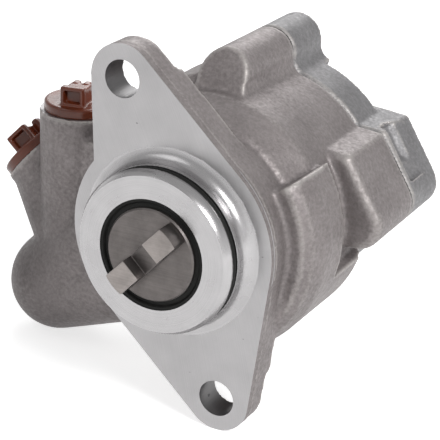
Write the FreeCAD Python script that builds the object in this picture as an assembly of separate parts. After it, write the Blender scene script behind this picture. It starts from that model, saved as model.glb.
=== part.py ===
import FreeCAD, Part
import math
import os

# Power steering pump with a balanced vane cartridge, in millimetres.
# The shaft lies along Y: the drive end points to -Y and the cover closes the +Y end.
# The origin is the centre of the mounting face. Angles go round the shaft from +X towards +Z.

V = FreeCAD.Vector
ORIGIN = V(0, 0, 0)
FORWARD = V(0, -1, 0)
BACKWARD = V(0, 1, 0)

# Mounting flange and spigot
BOLT_SPACING = 106.4
FLANGE_ANGLE = 110.0
BOLT_HOLE_R = 6.1
LUG_R = 11.2
WAIST_R = 35.4
FLANGE_T = 11.0
LUG_T = 8.0
SPOT_FACE_R = 13.5
FLANK_TURN = 17.6
SPIGOT_R = 27.0
SPIGOT_L = 12.2
SPIGOT_ROOT_R = 4.3
SPIGOT_NOSE_IN = 1.4
SPIGOT_NOSE_L = 2.4
SPIGOT_LAND = 0.9
SPIGOT_GROOVE_W = 3.0
SPIGOT_GROOVE_D = 2.7
SPIGOT_RING_WIRE_R = 1.3

# Cast drum of the housing
NECK_R = 35.6
SHOULDER_R = 36.5
SHOULDER_Y = 17.0
DRUM_R = 41.0
DRUM_Y = 28.0
DRUM_REAR_R = 40.2
JOINT_Y = 68.7
BELLY_R = 45.0
BELLY_FRONT_Y = 10.2
BELLY_NOSE = ((40.6, 0.0), (43.2, 3.0), (44.7, 10.0))
BELLY_REAR_Y = 51.0
BELLY_SLOPE = 12.0
CHEEK_REAR_Y = 31.5
CHEEK_TOP_ANGLE = 33.0
BELLY_TOP_ANGLE = -18.0
BELLY_END_ANGLE = -150.0

# Bolt lobes, shared by the housing and the cover
LOBE_COUNT = 4
LOBE_ANGLE = 2.0
LOBE_PITCH_R = 44.6
LOBE_R = 8.8
LOBE_ROOT_R = 5.0
LOBED_L = 9.0
CORNER_OUT = 41.0
CORNER_UP = 24.0
CORNER_R = 2.4
TOP_BOSS_L = 30.0
SIDE_BOSS_L = 28.5
NOSE_SLOPE = 32.0
CORNER_EDGE_R = 3.0

# Cartridge bore and its parts
CARTRIDGE_R = 35.3
CARTRIDGE_FLOOR_Y = 27.0
PLATE_GAP = 0.1
FRONT_PLATE_T = 6.0
REAR_PLATE_T = 7.0
CAM_RING_GAP = 2.3
CAM_MIN_R = 22.0
CAM_MAX_R = 26.0
CAM_ANGLE = 25.0
CAM_POINTS = 48
ROTOR_R = 21.7
ROTOR_L = 21.9
ROTOR_SIDE_GAP = 0.03
VANE_COUNT = 10
VANE_T = 1.8
VANE_H = 8.2
VANE_SIDE_GAP = 0.03
VANE_SLOT_GAP = 0.04
VANE_REST_IN = 0.2
VANE_FOOT_HOLE_R = 1.7
DOWEL_R = 2.5
DOWEL_PITCH_R = 28.5
DOWEL_DEPTH = 5.0
KIDNEY_R = 19.6
KIDNEY_W = 4.4
KIDNEY_SWEEP = 46.0
FOOT_GROOVE_R = 13.2
FOOT_GROOVE_W = 3.0
FOOT_GROOVE_D = 1.5
CUT_SWEEP = 44.0
CUT_TURN = 58.0
CUT_D = 4.0
KIDNEY_TURN = 122.0
CUT_IN_R = 23.5

# Shaft, its seal and its bushes
COLLAR_R = 15.3
COLLAR_FRONT_Y = -12.6
COLLAR_REAR_Y = -5.0
TANG_W = 7.5
TANG_L = 28.3
TANG_H = 6.0
TANG_ANGLE = 46.7
TANG_NOTCH_W = 9.4
TANG_NOTCH_D = 4.6
JOURNAL_R = 11.0
SPLINE_R = 9.5
SPLINE_TOOTH = 1.0
SPLINE_COUNT = 12
TAIL_R = 8.0
TAIL_END_Y = 79.0
SHAFT_CHAMFER = 1.0
RUNNING_GAP = 0.05
BUSH_WALL = 1.6
FRONT_BUSH_Y = -2.5
FRONT_BUSH_L = 24.0
REAR_BUSH_L = 13.0
SEAL_R = 18.2
SEAL_IN = 0.3
SEAL_L = 6.6
SEAL_CASE_T = 0.9
SEAL_LIP_T = 1.1
GARTER_WIRE_R = 0.35
GARTER_GAP = 0.05
CLIP_WIRE = 1.2
CLIP_DEPTH = 1.3
CLIP_GAP_ANGLE = 40.0

# Cover
COVER_LOBE_L = 21.3
COVER_DISC_L = 16.5
COVER_NOSE_L = 4.4
COVER_NOSE_GAP = 0.15
COVER_RING_WIRE_R = 1.3
RING_SEAT_GAP = 0.05
COVER_PAD_R = 37.0
COVER_BACK_R = 33.0
COVER_BACK_L = 4.0
SCOOP_FRONT = 2.8
SCOOP_DEEP = 4.2
SCOOP_REAR = 15.5
SCOOP_DEPTH = 3.2
SPRING_OUT_R = 24.0
SPRING_IN_R = 14.5
SPRING_T = 0.9

# Cover screws
SCREW_R = 4.0
SCREW_HOLE_R = 4.5
SCREW_HEAD_R = 6.5
SCREW_HEAD_L = 8.0
SCREW_HEAD_GAP = 0.35
SCREW_SINK = 1.0
SCREW_L = 32.0
SCREW_HEX = 6.0
SCREW_HEX_D = 4.0
SCREW_THREAD_END = 3.0

# Pressure port, with the flow valve below it on one upright axis
PORT_Y = 38.0
PRESSURE_X = -57.0
PRESSURE_FACE_Z = 22.6
PRESSURE_BOSS_R = 14.4
PRESSURE_BORE_R = 9.2
PRESSURE_BORE_D = 12.0
PRESSURE_STEM_L = 9.0
PRESSURE_PASSAGE_R = 2.5
PRESSURE_PASSAGE_Z = 11.0
PRESSURE_PASSAGE_END = (-33.0, 64.0, 8.0)
VALVE_R = 8.0
VALVE_GAP = 0.03
VALVE_FLOOR_Z = -47.0
SPOOL_TOP_Z = 6.0
SPOOL_L = 27.0
SPOOL_LAND_TOP = 8.0
SPOOL_LAND_END = 9.0
SPOOL_NECK_R = 5.2
SPOOL_HOLE_R = 4.2
SPOOL_HOLE_D = 17.0
STOP_RING_WIRE = 1.2
VALVE_SPRING_R = 6.0
VALVE_SPRING_WIRE_R = 0.8
VALVE_SPRING_TURNS = 5.0
RELIEF_SEAT_L = 5.0
RELIEF_SEAT_HOLE_R = 1.2
RELIEF_BALL_R = 2.0
RELIEF_GUIDE_R = 3.4
RELIEF_GUIDE_L = 4.0
RELIEF_GAP = 0.03
RELIEF_SPRING_R = 2.5
RELIEF_SPRING_WIRE_R = 0.5
RELIEF_SPRING_TURNS = 4.0

# Suction port, tilted in the XZ plane, and the domed barrel below the ports
SUCTION_Y = 44.0
SUCTION_X = -77.8
SUCTION_Z = 0.8
SUCTION_TILT = 49.0
SUCTION_BOSS_R = 14.2
SUCTION_BORE_R = 10.6
SUCTION_BORE_D = 6.5
SUCTION_STEM_L = 5.0
SUCTION_PASSAGE_R = 5.0
SUCTION_PASSAGE_END = (-31.5, 54.5, -14.8)
SUCTION_ROOT_X = -59.5
SUCTION_ROOT_Y = 40.0
SUCTION_ROOT_Z = -28.0
SUCTION_ROOT_R = 15.0
DOME_R = 18.0
DOME_X = -65.5
DOME_Z = -43.0
DOME_RISE_ANGLE = 46.0
DOME_RISE_L = 44.0

# Web that ties the pressure boss to the drum
WEB_FRONT_Y = 26.0
WEB_REAR_Y = 60.0
WEB_TOP_Z = 16.0

# Transport plugs
PLUG_GAP = 0.2
SUCTION_DISC_OVER = 0.9
SUCTION_SPOT_GAP = 0.5
SUCTION_SPOT_D = 6.0
PLUG_DISC_IN = 1.5
PLUG_DISC_T = 3.4
PLUG_STEM_WALL = 1.6
PLUG_GRIP_H = 5.0
PLUG_GRIP_T = 1.9
PLUG_GRIP_IN = 4.0
PLUG_HUB_R = 1.7
PLUG_WINDOW_IN = 1.4
PRESSURE_PLUG_TURN = 51.0
SUCTION_PLUG_TURN = 20.0


def polar(radius, angle, y=0.0):
    """Point at a radius and an angle round the shaft."""
    turn = math.radians(angle)
    return V(radius * math.cos(turn), y, radius * math.sin(turn))


def rod(radius, y0, y1, x=0.0, z=0.0):
    """Round bar along Y."""
    return Part.makeCylinder(radius, y1 - y0, V(x, y0, z), BACKWARD)


def tube(outer, inner, y0, y1, x=0.0, z=0.0):
    """Round tube along Y."""
    return rod(outer, y0, y1, x, z).cut(rod(inner, y0, y1, x, z))


def turned(profile, start=0.0, sweep=360.0):
    """Solid of revolution about the shaft from (radius, y) points."""
    points = [V(r, y, 0) for r, y in profile]
    face = Part.Face(Part.makePolygon(points + points[:1]))
    face.rotate(ORIGIN, FORWARD, start)
    return face.revolve(ORIGIN, FORWARD, sweep)


def prism(edges, y0, y1):
    """Flat outline drawn at y = 0, extruded from y0 to y1."""
    wire = Part.Wire(Part.__sortEdges__(edges))
    wire.translate(V(0, y0, 0))
    return Part.Face(wire).extrude(V(0, y1 - y0, 0))


def fused(shapes):
    """Union of a list of shapes, with the seams removed."""
    return shapes[0].fuse(shapes[1:]).removeSplitter()


def round_edges(shape, radius, chosen):
    """Fillets the edges that the test picks."""
    edges = [e for e in shape.Edges if chosen(e)]
    return shape.makeFillet(radius, edges)


def along_y(edge):
    """True for a straight edge that runs along the shaft."""
    if not isinstance(edge.Curve, Part.Line):
        return False
    return abs(edge.tangentAt(edge.FirstParameter).y) > 0.999


def ring(radius, wire_radius, y):
    """Ring of round wire about the shaft."""
    return Part.makeTorus(radius, wire_radius, V(0, y, 0), BACKWARD)


def slot_arc(radius, width, y0, y1, middle, sweep):
    """Curved slot with round ends, as a solid to cut."""
    inner = radius - width / 2
    outer = radius + width / 2
    body = turned([(inner, y0), (outer, y0), (outer, y1), (inner, y1)], middle - sweep / 2, sweep)
    ends = []
    for side in (-1, 1):
        centre = polar(radius, middle + side * sweep / 2)
        ends.append(rod(width / 2, y0, y1, centre.x, centre.z))
    return fused([body] + ends)


def split_ring(outer, inner, y0, thickness, gap_angle):
    """Retaining ring with a gap."""
    profile = [(inner, y0), (outer, y0), (outer, y0 + thickness), (inner, y0 + thickness)]
    return turned(profile, gap_angle / 2, 360 - gap_angle)


def coil(radius, wire_radius, length, turns):
    """Compression spring along +Z from z = 0, with the wire inside the given length."""
    height = length - 2 * wire_radius
    path = Part.makeHelix(height / turns, height, radius)
    section = Part.Wire(Part.makeCircle(wire_radius, V(radius, 0, 0), BACKWARD))
    spring = Part.Wire(path.Edges).makePipeShell([section], True, True)
    spring.translate(V(0, 0, wire_radius))
    return spring


FRONT_PLATE_Y = CARTRIDGE_FLOOR_Y
CAM_Y = FRONT_PLATE_Y + FRONT_PLATE_T
CAM_L = ROTOR_L + 2 * ROTOR_SIDE_GAP
REAR_PLATE_Y = CAM_Y + CAM_L
REAR_PLATE_END_Y = REAR_PLATE_Y + REAR_PLATE_T
ROTOR_Y = CAM_Y + ROTOR_SIDE_GAP
PLATE_R = CARTRIDGE_R - PLATE_GAP
CAM_RING_R = CARTRIDGE_R - CAM_RING_GAP
COVER_LOBE_Y = JOINT_Y + COVER_LOBE_L
COVER_DISC_Y = JOINT_Y + COVER_DISC_L
COVER_NOSE_Y = JOINT_Y - COVER_NOSE_L
COVER_NOSE_R = CARTRIDGE_R - COVER_NOSE_GAP
SCREW_SEAT_Y = COVER_LOBE_Y - SCREW_SINK - SCREW_HEAD_L
SCREW_END_Y = SCREW_SEAT_Y - SCREW_L
SPIGOT_FRONT_Y = -SPIGOT_L
FRONT_BUSH_END_Y = FRONT_BUSH_Y + FRONT_BUSH_L
SEAL_FLOOR_Y = SPIGOT_FRONT_Y + SEAL_IN + SEAL_L
SPOOL_END_Z = SPOOL_TOP_Z - SPOOL_L
LOBE_ANGLES = [LOBE_ANGLE + 360.0 / LOBE_COUNT * i for i in range(LOBE_COUNT)]
VANE_ANGLES = [CAM_ANGLE + 360.0 / VANE_COUNT * (i + 0.5) for i in range(VANE_COUNT)]


def flange_outline():
    """Rhombic outline: a waist circle and two lug circles joined by their tangents."""
    half = BOLT_SPACING / 2
    meet = math.degrees(math.acos((WAIST_R - LUG_R) / half))
    edges = []
    for turn in (0.0, 180.0):
        long_way = FLANGE_ANGLE + turn
        lug = polar(half, long_way)
        lug_start = lug + polar(LUG_R, long_way - meet)
        lug_end = lug + polar(LUG_R, long_way + meet)
        waist_start = polar(WAIST_R, long_way + meet)
        waist_end = polar(WAIST_R, long_way + 180 - meet)
        waist_tip = polar(WAIST_R, long_way + 90)
        next_lug = polar(half, long_way + 180) + polar(LUG_R, long_way + 180 - meet)
        edges.append(Part.Arc(lug_start, lug + polar(LUG_R, long_way), lug_end).toShape())
        edges.append(Part.makeLine(lug_end, waist_start))
        edges.append(Part.Arc(waist_start, waist_tip, waist_end).toShape())
        edges.append(Part.makeLine(waist_end, next_lug))
    return edges


def flank_cut():
    """Wedge that clears the upper left flank of the flange down to the waist circle."""
    lug = polar(BOLT_SPACING / 2, FLANGE_ANGLE)
    start = lug + polar(LUG_R, FLANGE_ANGLE + 90 - FLANK_TURN)
    away = polar(1, FLANGE_ANGLE + 180 - FLANK_TURN)
    side = polar(1, FLANGE_ANGLE + 90 - FLANK_TURN)
    length = BOLT_SPACING / 2
    points = [start, start + away * length, start + away * length + side * LUG_R, start + side * LUG_R]
    edges = [Part.makeLine(p, q) for p, q in zip(points, points[1:] + points[:1])]
    return prism(edges, -1, FLANGE_T + 1).cut(rod(WAIST_R, -2, FLANGE_T + 2))


def flange():
    """Mounting flange with its lugs milled thinner round the bolt holes."""
    plate = prism(flange_outline(), 0, FLANGE_T).cut(flank_cut())
    for turn in (0.0, 180.0):
        lug = polar(BOLT_SPACING / 2, FLANGE_ANGLE + turn)
        plate = plate.cut(rod(SPOT_FACE_R, LUG_T, FLANGE_T + 1, lug.x, lug.z))
    return plate


def spigot():
    """Turned spigot with a chamfered nose, a ring groove and a hollow root fillet."""
    nose_end = SPIGOT_FRONT_Y + SPIGOT_NOSE_L
    groove = nose_end + SPIGOT_LAND
    groove_end = groove + SPIGOT_GROOVE_W
    floor = SPIGOT_R - SPIGOT_GROOVE_D
    body = turned([
        (0, SPIGOT_FRONT_Y), (SPIGOT_R - SPIGOT_NOSE_IN, SPIGOT_FRONT_Y), (SPIGOT_R, nose_end),
        (SPIGOT_R, groove), (floor, groove), (floor, groove_end), (SPIGOT_R, groove_end),
        (SPIGOT_R, 1), (0, 1)])
    root = turned([
        (SPIGOT_R - 1, -SPIGOT_ROOT_R), (SPIGOT_R + SPIGOT_ROOT_R, -SPIGOT_ROOT_R),
        (SPIGOT_R + SPIGOT_ROOT_R, 1), (SPIGOT_R - 1, 1)])
    hollow = Part.makeTorus(SPIGOT_R + SPIGOT_ROOT_R, SPIGOT_ROOT_R, V(0, -SPIGOT_ROOT_R, 0), BACKWARD)
    return body.fuse(root.cut(hollow))


def drum():
    """Cast drum: neck, shoulder cone and a body that narrows to the joint."""
    return turned([
        (0, 2), (NECK_R, 2), (NECK_R, SHOULDER_Y), (SHOULDER_R, SHOULDER_Y),
        (DRUM_R, DRUM_Y), (DRUM_REAR_R, JOINT_Y), (0, JOINT_Y)])


def belly():
    """Thicker lower side of the drum, with a shorter cheek on the right."""
    core = NECK_R - 4
    nose = [(core, BELLY_FRONT_Y)] + [(r, BELLY_FRONT_Y + y) for r, y in BELLY_NOSE]
    cheek_end = [(BELLY_R, CHEEK_REAR_Y), (BELLY_R - 5, CHEEK_REAR_Y + 2), (core, CHEEK_REAR_Y + 2)]
    rear = BELLY_REAR_Y + BELLY_SLOPE
    lower_end = [(BELLY_R, BELLY_REAR_Y), (DRUM_REAR_R - 1, rear), (core, rear)]
    cheek = turned(nose + cheek_end, BELLY_TOP_ANGLE, CHEEK_TOP_ANGLE - BELLY_TOP_ANGLE)
    lower = turned(nose + lower_end, BELLY_END_ANGLE, BELLY_TOP_ANGLE - BELLY_END_ANGLE)
    return cheek.fuse(lower)


def lobe_bar(angle, y0, y1):
    """Bolt lobe with hollow fillets into the drum."""
    centre = polar(LOBE_PITCH_R, angle)
    near = DRUM_REAR_R + LOBE_ROOT_R
    far = LOBE_R + LOBE_ROOT_R
    swing = math.degrees(math.acos((near ** 2 + LOBE_PITCH_R ** 2 - far ** 2) / (2 * near * LOBE_PITCH_R)))
    bar = rod(LOBE_R, y0, y1, centre.x, centre.z)
    for side in (-1, 1):
        hollow = polar(near, angle + side * swing)
        points = [V(0, 0, 0), centre, hollow]
        edges = [Part.makeLine(p, q) for p, q in zip(points, points[1:] + points[:1])]
        gusset = prism(edges, y0, y1).cut(rod(LOBE_ROOT_R, y0 - 1, y1 + 1, hollow.x, hollow.z))
        bar = bar.fuse(gusset)
    return bar


def corner_frame():
    """Outer corner of the flare, the tip on the lobe and the outward normal between them."""
    outer = V(CORNER_OUT, 0, CORNER_UP)
    centre = polar(LOBE_PITCH_R, LOBE_ANGLE)
    reach = (centre - outer).Length
    toward = math.atan2(centre.z - outer.z, centre.x - outer.x)
    lean = toward + math.asin(LOBE_R / reach)
    along = V(math.cos(lean), 0, math.sin(lean))
    normal = V(-along.z, 0, along.x)
    return outer, outer + along * math.sqrt(reach ** 2 - LOBE_R ** 2), along, normal


def corner_bar(y0, y1):
    """Cast corner that flares from the drum to the right-hand lobe."""
    outer, tip = corner_frame()[:2]
    centre = polar(LOBE_PITCH_R, LOBE_ANGLE)
    inner = V(CARTRIDGE_R * 0.7, 0, CORNER_UP + 1.5)
    points = [inner, outer, tip, centre, V(CARTRIDGE_R - 4, 0, 0)]
    edges = [Part.makeLine(p, q) for p, q in zip(points, points[1:] + points[:1])]
    block = prism(edges, y0, y1)

    def at_corner(edge):
        point = edge.Vertexes[0].Point
        return along_y(edge) and math.hypot(point.x - outer.x, point.z - outer.z) < 0.1

    return round_edges(block, CORNER_R, at_corner)


def lobed_section(y0, y1):
    """Outline at the joint, as a prism: a disc, four lobes and the flared corner."""
    solids = [rod(DRUM_REAR_R, y0, y1)]
    solids += [lobe_bar(angle, y0, y1) for angle in LOBE_ANGLES]
    return fused(solids + [corner_bar(y0, y1)])


def nose_cut(angle, y):
    """Wedge that slopes the front end of a bolt boss, from its outer side at y."""
    outer = LOBE_PITCH_R + LOBE_R
    wedge = Part.makeBox(2 * outer, outer, 3 * outer, V(-outer, -outer, -1.5 * outer))
    wedge.rotate(ORIGIN, V(0, 0, 1), NOSE_SLOPE)
    wedge.translate(V(outer, y, 0))
    wedge.rotate(ORIGIN, FORWARD, angle)
    return wedge


def bosses():
    """Bolt bosses in front of the joint, with sloping noses."""
    solids = []
    for index, angle in enumerate(LOBE_ANGLES[1:]):
        length = TOP_BOSS_L if index == 0 else SIDE_BOSS_L
        bar = lobe_bar(angle, JOINT_Y - length - LOBE_PITCH_R / 2, JOINT_Y - 1)
        solids.append(bar.cut(nose_cut(angle, JOINT_Y - length)))
    front = JOINT_Y - SIDE_BOSS_L
    flare = fused([lobe_bar(LOBE_ANGLE, front, JOINT_Y - 1), corner_bar(front, JOINT_Y - 1)])

    def outer_front(edge):
        box = edge.BoundBox
        far = math.hypot(edge.CenterOfMass.x, edge.CenterOfMass.z) > DRUM_R + 3
        return abs(box.YMax - front) < 0.01 and far

    return solids + [round_edges(flare, CORNER_EDGE_R, outer_front)]


def pressure_boss():
    """Upright boss of the pressure port and flow valve."""
    height = PRESSURE_FACE_Z - DOME_Z
    return Part.makeCylinder(PRESSURE_BOSS_R, height, V(PRESSURE_X, PORT_Y, DOME_Z))


def suction_direction():
    """Outward direction of the suction port."""
    turn = math.radians(SUCTION_TILT)
    return V(-math.sin(turn), 0, math.cos(turn))


def suction_face():
    """Centre of the suction port's face."""
    return V(SUCTION_X, SUCTION_Y, SUCTION_Z)


def suction_boss():
    """Suction boss: a short collar on a root that leans over the dome."""
    out = suction_direction()
    face = suction_face()
    collar_l = 3.0
    collar = Part.makeCylinder(SUCTION_BOSS_R, collar_l, face - out * collar_l, out)
    top = Part.Wire(Part.makeCircle(SUCTION_BOSS_R, face - out * collar_l, out))
    root_centre = V(SUCTION_ROOT_X, SUCTION_ROOT_Y, SUCTION_ROOT_Z)
    root = Part.Wire(Part.makeCircle(SUCTION_ROOT_R, root_centre, V(0, 0, 1)))
    return collar.fuse(Part.makeLoft([root, top], True, True))


def dome_direction():
    """Direction of the lower barrel, square to the flange's long axis."""
    return polar(1, FLANGE_ANGLE - 90)


def dome():
    """Domed barrel that closes the valve bore, and the rise that carries it up to the drum."""
    centre = V(DOME_X, PORT_Y, DOME_Z)
    barrel = Part.makeCylinder(DOME_R, -DOME_X, centre, dome_direction())
    rise = Part.makeCylinder(DOME_R, DOME_RISE_L, centre, polar(1, DOME_RISE_ANGLE))
    return fused([barrel, Part.makeSphere(DOME_R, centre), rise])


def web():
    """Wall between the pressure boss and the drum."""
    return Part.makeBox(-PRESSURE_X, WEB_REAR_Y - WEB_FRONT_Y, WEB_TOP_Z - DOME_Z,
                        V(PRESSURE_X, WEB_FRONT_Y, DOME_Z))


def drilling(start, end, radius):
    """Straight drilled passage between two points."""
    return Part.makeCylinder(radius, (end - start).Length, start, end - start)


def housing_bores(body):
    """Cuts every machined bore and passage of the housing."""
    cuts = []
    cuts.append(rod(SEAL_R, SPIGOT_FRONT_Y - 1, SEAL_FLOOR_Y))
    cuts.append(rod(COLLAR_R + 0.7, SEAL_FLOOR_Y - 1, COLLAR_REAR_Y + 0.8))
    cuts.append(rod(JOURNAL_R + BUSH_WALL, SEAL_FLOOR_Y, FRONT_BUSH_END_Y))
    cuts.append(rod(JOURNAL_R + 1, FRONT_BUSH_END_Y - 1, CARTRIDGE_FLOOR_Y + 1))
    cuts.append(rod(CARTRIDGE_R, CARTRIDGE_FLOOR_Y, JOINT_Y + 1))
    for turn in (0.0, 180.0):
        hole = polar(BOLT_SPACING / 2, FLANGE_ANGLE + turn)
        cuts.append(rod(BOLT_HOLE_R, -1, FLANGE_T + 1, hole.x, hole.z))
        dowel = polar(DOWEL_PITCH_R, CAM_ANGLE + turn)
        cuts.append(rod(DOWEL_R, CARTRIDGE_FLOOR_Y - DOWEL_DEPTH, CARTRIDGE_FLOOR_Y + 1, dowel.x, dowel.z))
    for angle in LOBE_ANGLES:
        hole = polar(LOBE_PITCH_R, angle)
        cuts.append(rod(SCREW_R, SCREW_END_Y - SCREW_THREAD_END, JOINT_Y + 1, hole.x, hole.z))
    axis = V(PRESSURE_X, PORT_Y, VALVE_FLOOR_Z)
    cuts.append(Part.makeCylinder(VALVE_R, PRESSURE_FACE_Z - VALVE_FLOOR_Z, axis))
    mouth = V(PRESSURE_X, PORT_Y, PRESSURE_FACE_Z - PRESSURE_BORE_D)
    cuts.append(Part.makeCylinder(PRESSURE_BORE_R, PRESSURE_BORE_D + 1, mouth))
    out = suction_direction()
    face = suction_face()
    cuts.append(Part.makeCylinder(SUCTION_BORE_R, SUCTION_BORE_D + 1, face - out * SUCTION_BORE_D, out))
    spot_r = SUCTION_BOSS_R + SUCTION_DISC_OVER - PLUG_DISC_IN + SUCTION_SPOT_GAP
    cuts.append(Part.makeCylinder(spot_r, SUCTION_SPOT_D, face, out))
    cuts.append(drilling(face - out * (SUCTION_BORE_D - 1), V(*SUCTION_PASSAGE_END), SUCTION_PASSAGE_R))
    delivery = V(PRESSURE_X, PORT_Y, PRESSURE_PASSAGE_Z)
    cuts.append(drilling(delivery, V(*PRESSURE_PASSAGE_END), PRESSURE_PASSAGE_R))
    return body.cut(cuts)


def pump_housing():
    """The whole housing casting, machined."""
    solids = [flange(), drum(), belly(), lobed_section(JOINT_Y - LOBED_L, JOINT_Y)]
    solids += bosses()
    solids += [dome(), pressure_boss(), suction_boss(), web(), spigot()]
    return housing_bores(solids[0].fuse(solids[1:]))


def cover_scoop():
    """Hollow in the side of the cover's corner, as a wedge to cut."""
    outer, tip, along, normal = corner_frame()
    start = outer - along * LOBE_R
    end = tip - along * 2.0
    profile = [(SCOOP_FRONT, 1.0), (SCOOP_FRONT, 0.0), (SCOOP_DEEP, -SCOOP_DEPTH), (SCOOP_REAR, 0.0), (SCOOP_REAR, 1.0)]
    points = [start + normal * out + BACKWARD * (JOINT_Y + y) for y, out in profile]
    face = Part.Face(Part.makePolygon(points + points[:1]))
    return face.extrude(end - start)


def rear_cover():
    """Cast cover with its nose in the cartridge bore and counterbored lobes."""
    solids = [lobed_section(JOINT_Y, COVER_DISC_Y)]
    inside = rod(COVER_PAD_R, COVER_DISC_Y - 2, COVER_LOBE_Y + 1)
    for angle in LOBE_ANGLES:
        solids.append(lobe_bar(angle, COVER_DISC_Y - 1, COVER_LOBE_Y).cut(inside))
    solids.append(corner_bar(COVER_DISC_Y - 1, COVER_LOBE_Y).cut(inside))
    back = Part.makeCone(COVER_BACK_R, COVER_BACK_R - COVER_BACK_L, COVER_BACK_L, V(0, COVER_DISC_Y, 0), BACKWARD)
    groove_r = CARTRIDGE_R - 2 * RING_SEAT_GAP - 2 * COVER_RING_WIRE_R
    groove_y = COVER_NOSE_Y + 0.9
    groove_end = groove_y + 2 * COVER_RING_WIRE_R + 0.3
    nose = rod(COVER_NOSE_R, COVER_NOSE_Y, JOINT_Y).cut(tube(CARTRIDGE_R, groove_r, groove_y, groove_end))
    body = fused(solids + [back, nose])
    cuts = [cover_scoop(), rod(TAIL_R + BUSH_WALL, COVER_NOSE_Y - 1, COVER_NOSE_Y + REAR_BUSH_L)]
    cuts.append(rod(TAIL_R + 1, COVER_NOSE_Y, TAIL_END_Y + 2))
    for angle in LOBE_ANGLES:
        hole = polar(LOBE_PITCH_R, angle)
        cuts.append(rod(SCREW_HOLE_R, JOINT_Y - 1, COVER_LOBE_Y + 1, hole.x, hole.z))
        cuts.append(rod(SCREW_HEAD_R + SCREW_HEAD_GAP, SCREW_SEAT_Y, COVER_LOBE_Y + 1, hole.x, hole.z))
    return body.cut(cuts)


def hexagon(flats, y0, y1, x, z):
    """Hexagonal bar along Y."""
    corner = flats / math.sqrt(3)
    points = [V(x, 0, z) + polar(corner, 60 * i) for i in range(6)]
    edges = [Part.makeLine(a, b) for a, b in zip(points, points[1:] + points[:1])]
    return prism(edges, y0, y1)


def cover_screws():
    """Four socket-head screws in the lobes."""
    screws = []
    for angle in LOBE_ANGLES:
        hole = polar(LOBE_PITCH_R, angle)
        head_end = SCREW_SEAT_Y + SCREW_HEAD_L
        head = rod(SCREW_HEAD_R, SCREW_SEAT_Y, head_end, hole.x, hole.z)
        head = head.makeChamfer(0.6, [e for e in head.Edges if abs(e.BoundBox.YMin - head_end) < 0.01])
        shank = rod(SCREW_R, SCREW_END_Y, SCREW_SEAT_Y, hole.x, hole.z)
        socket = hexagon(SCREW_HEX, head_end - SCREW_HEX_D, head_end + 1, hole.x, hole.z)
        screws.append(head.fuse(shank).cut(socket).removeSplitter())
    return Part.makeCompound(screws)


def spline_edges(extra=0.0):
    """Toothed outline of the shaft's spline, grown by a clearance."""
    tip = SPLINE_R + extra
    root = SPLINE_R - SPLINE_TOOTH + extra
    step = 360.0 / SPLINE_COUNT
    points = []
    for i in range(SPLINE_COUNT):
        middle = i * step
        points += [polar(root, middle - step * 0.36), polar(tip, middle - step * 0.2)]
        points += [polar(tip, middle + step * 0.2), polar(root, middle + step * 0.36)]
    return [Part.makeLine(a, b) for a, b in zip(points, points[1:] + points[:1])]


def drive_shaft():
    """Shaft with its collar and claw at the drive end, a spline and a tail journal."""
    neck_r = SPLINE_R - SPLINE_TOOTH - 0.2
    spline_y = CAM_Y - 1
    spline_end = REAR_PLATE_Y + CLIP_WIRE + 2.2
    body = turned([
        (0, COLLAR_FRONT_Y), (COLLAR_R - 0.5, COLLAR_FRONT_Y), (COLLAR_R, COLLAR_FRONT_Y + 0.5),
        (COLLAR_R, COLLAR_REAR_Y), (JOURNAL_R, COLLAR_REAR_Y), (JOURNAL_R, FRONT_BUSH_END_Y + 1),
        (neck_r, FRONT_BUSH_END_Y + 3), (neck_r, spline_end), (TAIL_R, spline_end),
        (TAIL_R, TAIL_END_Y - SHAFT_CHAMFER), (TAIL_R - SHAFT_CHAMFER, TAIL_END_Y), (0, TAIL_END_Y)])
    teeth = prism(spline_edges(), spline_y, spline_end)
    groove = tube(SPLINE_R + 1, SPLINE_R - CLIP_DEPTH, REAR_PLATE_Y + 0.4, REAR_PLATE_Y + 0.5 + CLIP_WIRE)
    body = body.fuse(teeth).cut(groove)
    tang_top = COLLAR_FRONT_Y - TANG_H
    bar = Part.makeBox(TANG_L, TANG_H + 1, TANG_W, V(-TANG_L / 2, tang_top, -TANG_W / 2))
    bar = bar.common(rod(TANG_L / 2, tang_top, COLLAR_FRONT_Y + 1))
    notch = Part.makeBox(TANG_NOTCH_W, TANG_NOTCH_D, TANG_W + 2, V(-TANG_NOTCH_W / 2, tang_top, -TANG_W / 2 - 1))
    bar = bar.cut(notch)
    bar.rotate(ORIGIN, FORWARD, TANG_ANGLE)
    return body.fuse(bar).removeSplitter()


def rotor():
    """Slotted rotor with round under-vane holes."""
    body = tube(ROTOR_R, 5, ROTOR_Y, ROTOR_Y + ROTOR_L)
    cuts = [prism(spline_edges(RUNNING_GAP), ROTOR_Y - 1, ROTOR_Y + ROTOR_L + 1)]
    foot_r = ROTOR_R - VANE_REST_IN - VANE_H - 0.8
    width = VANE_T + 2 * VANE_SLOT_GAP
    for angle in VANE_ANGLES:
        slot = Part.makeBox(ROTOR_R - foot_r + 2, ROTOR_L + 2, width, V(foot_r, ROTOR_Y - 1, -width / 2))
        slot.rotate(ORIGIN, FORWARD, angle)
        foot = polar(foot_r, angle)
        cuts += [slot, rod(VANE_FOOT_HOLE_R, ROTOR_Y - 1, ROTOR_Y + ROTOR_L + 1, foot.x, foot.z)]
    return body.cut(cuts)


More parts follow.
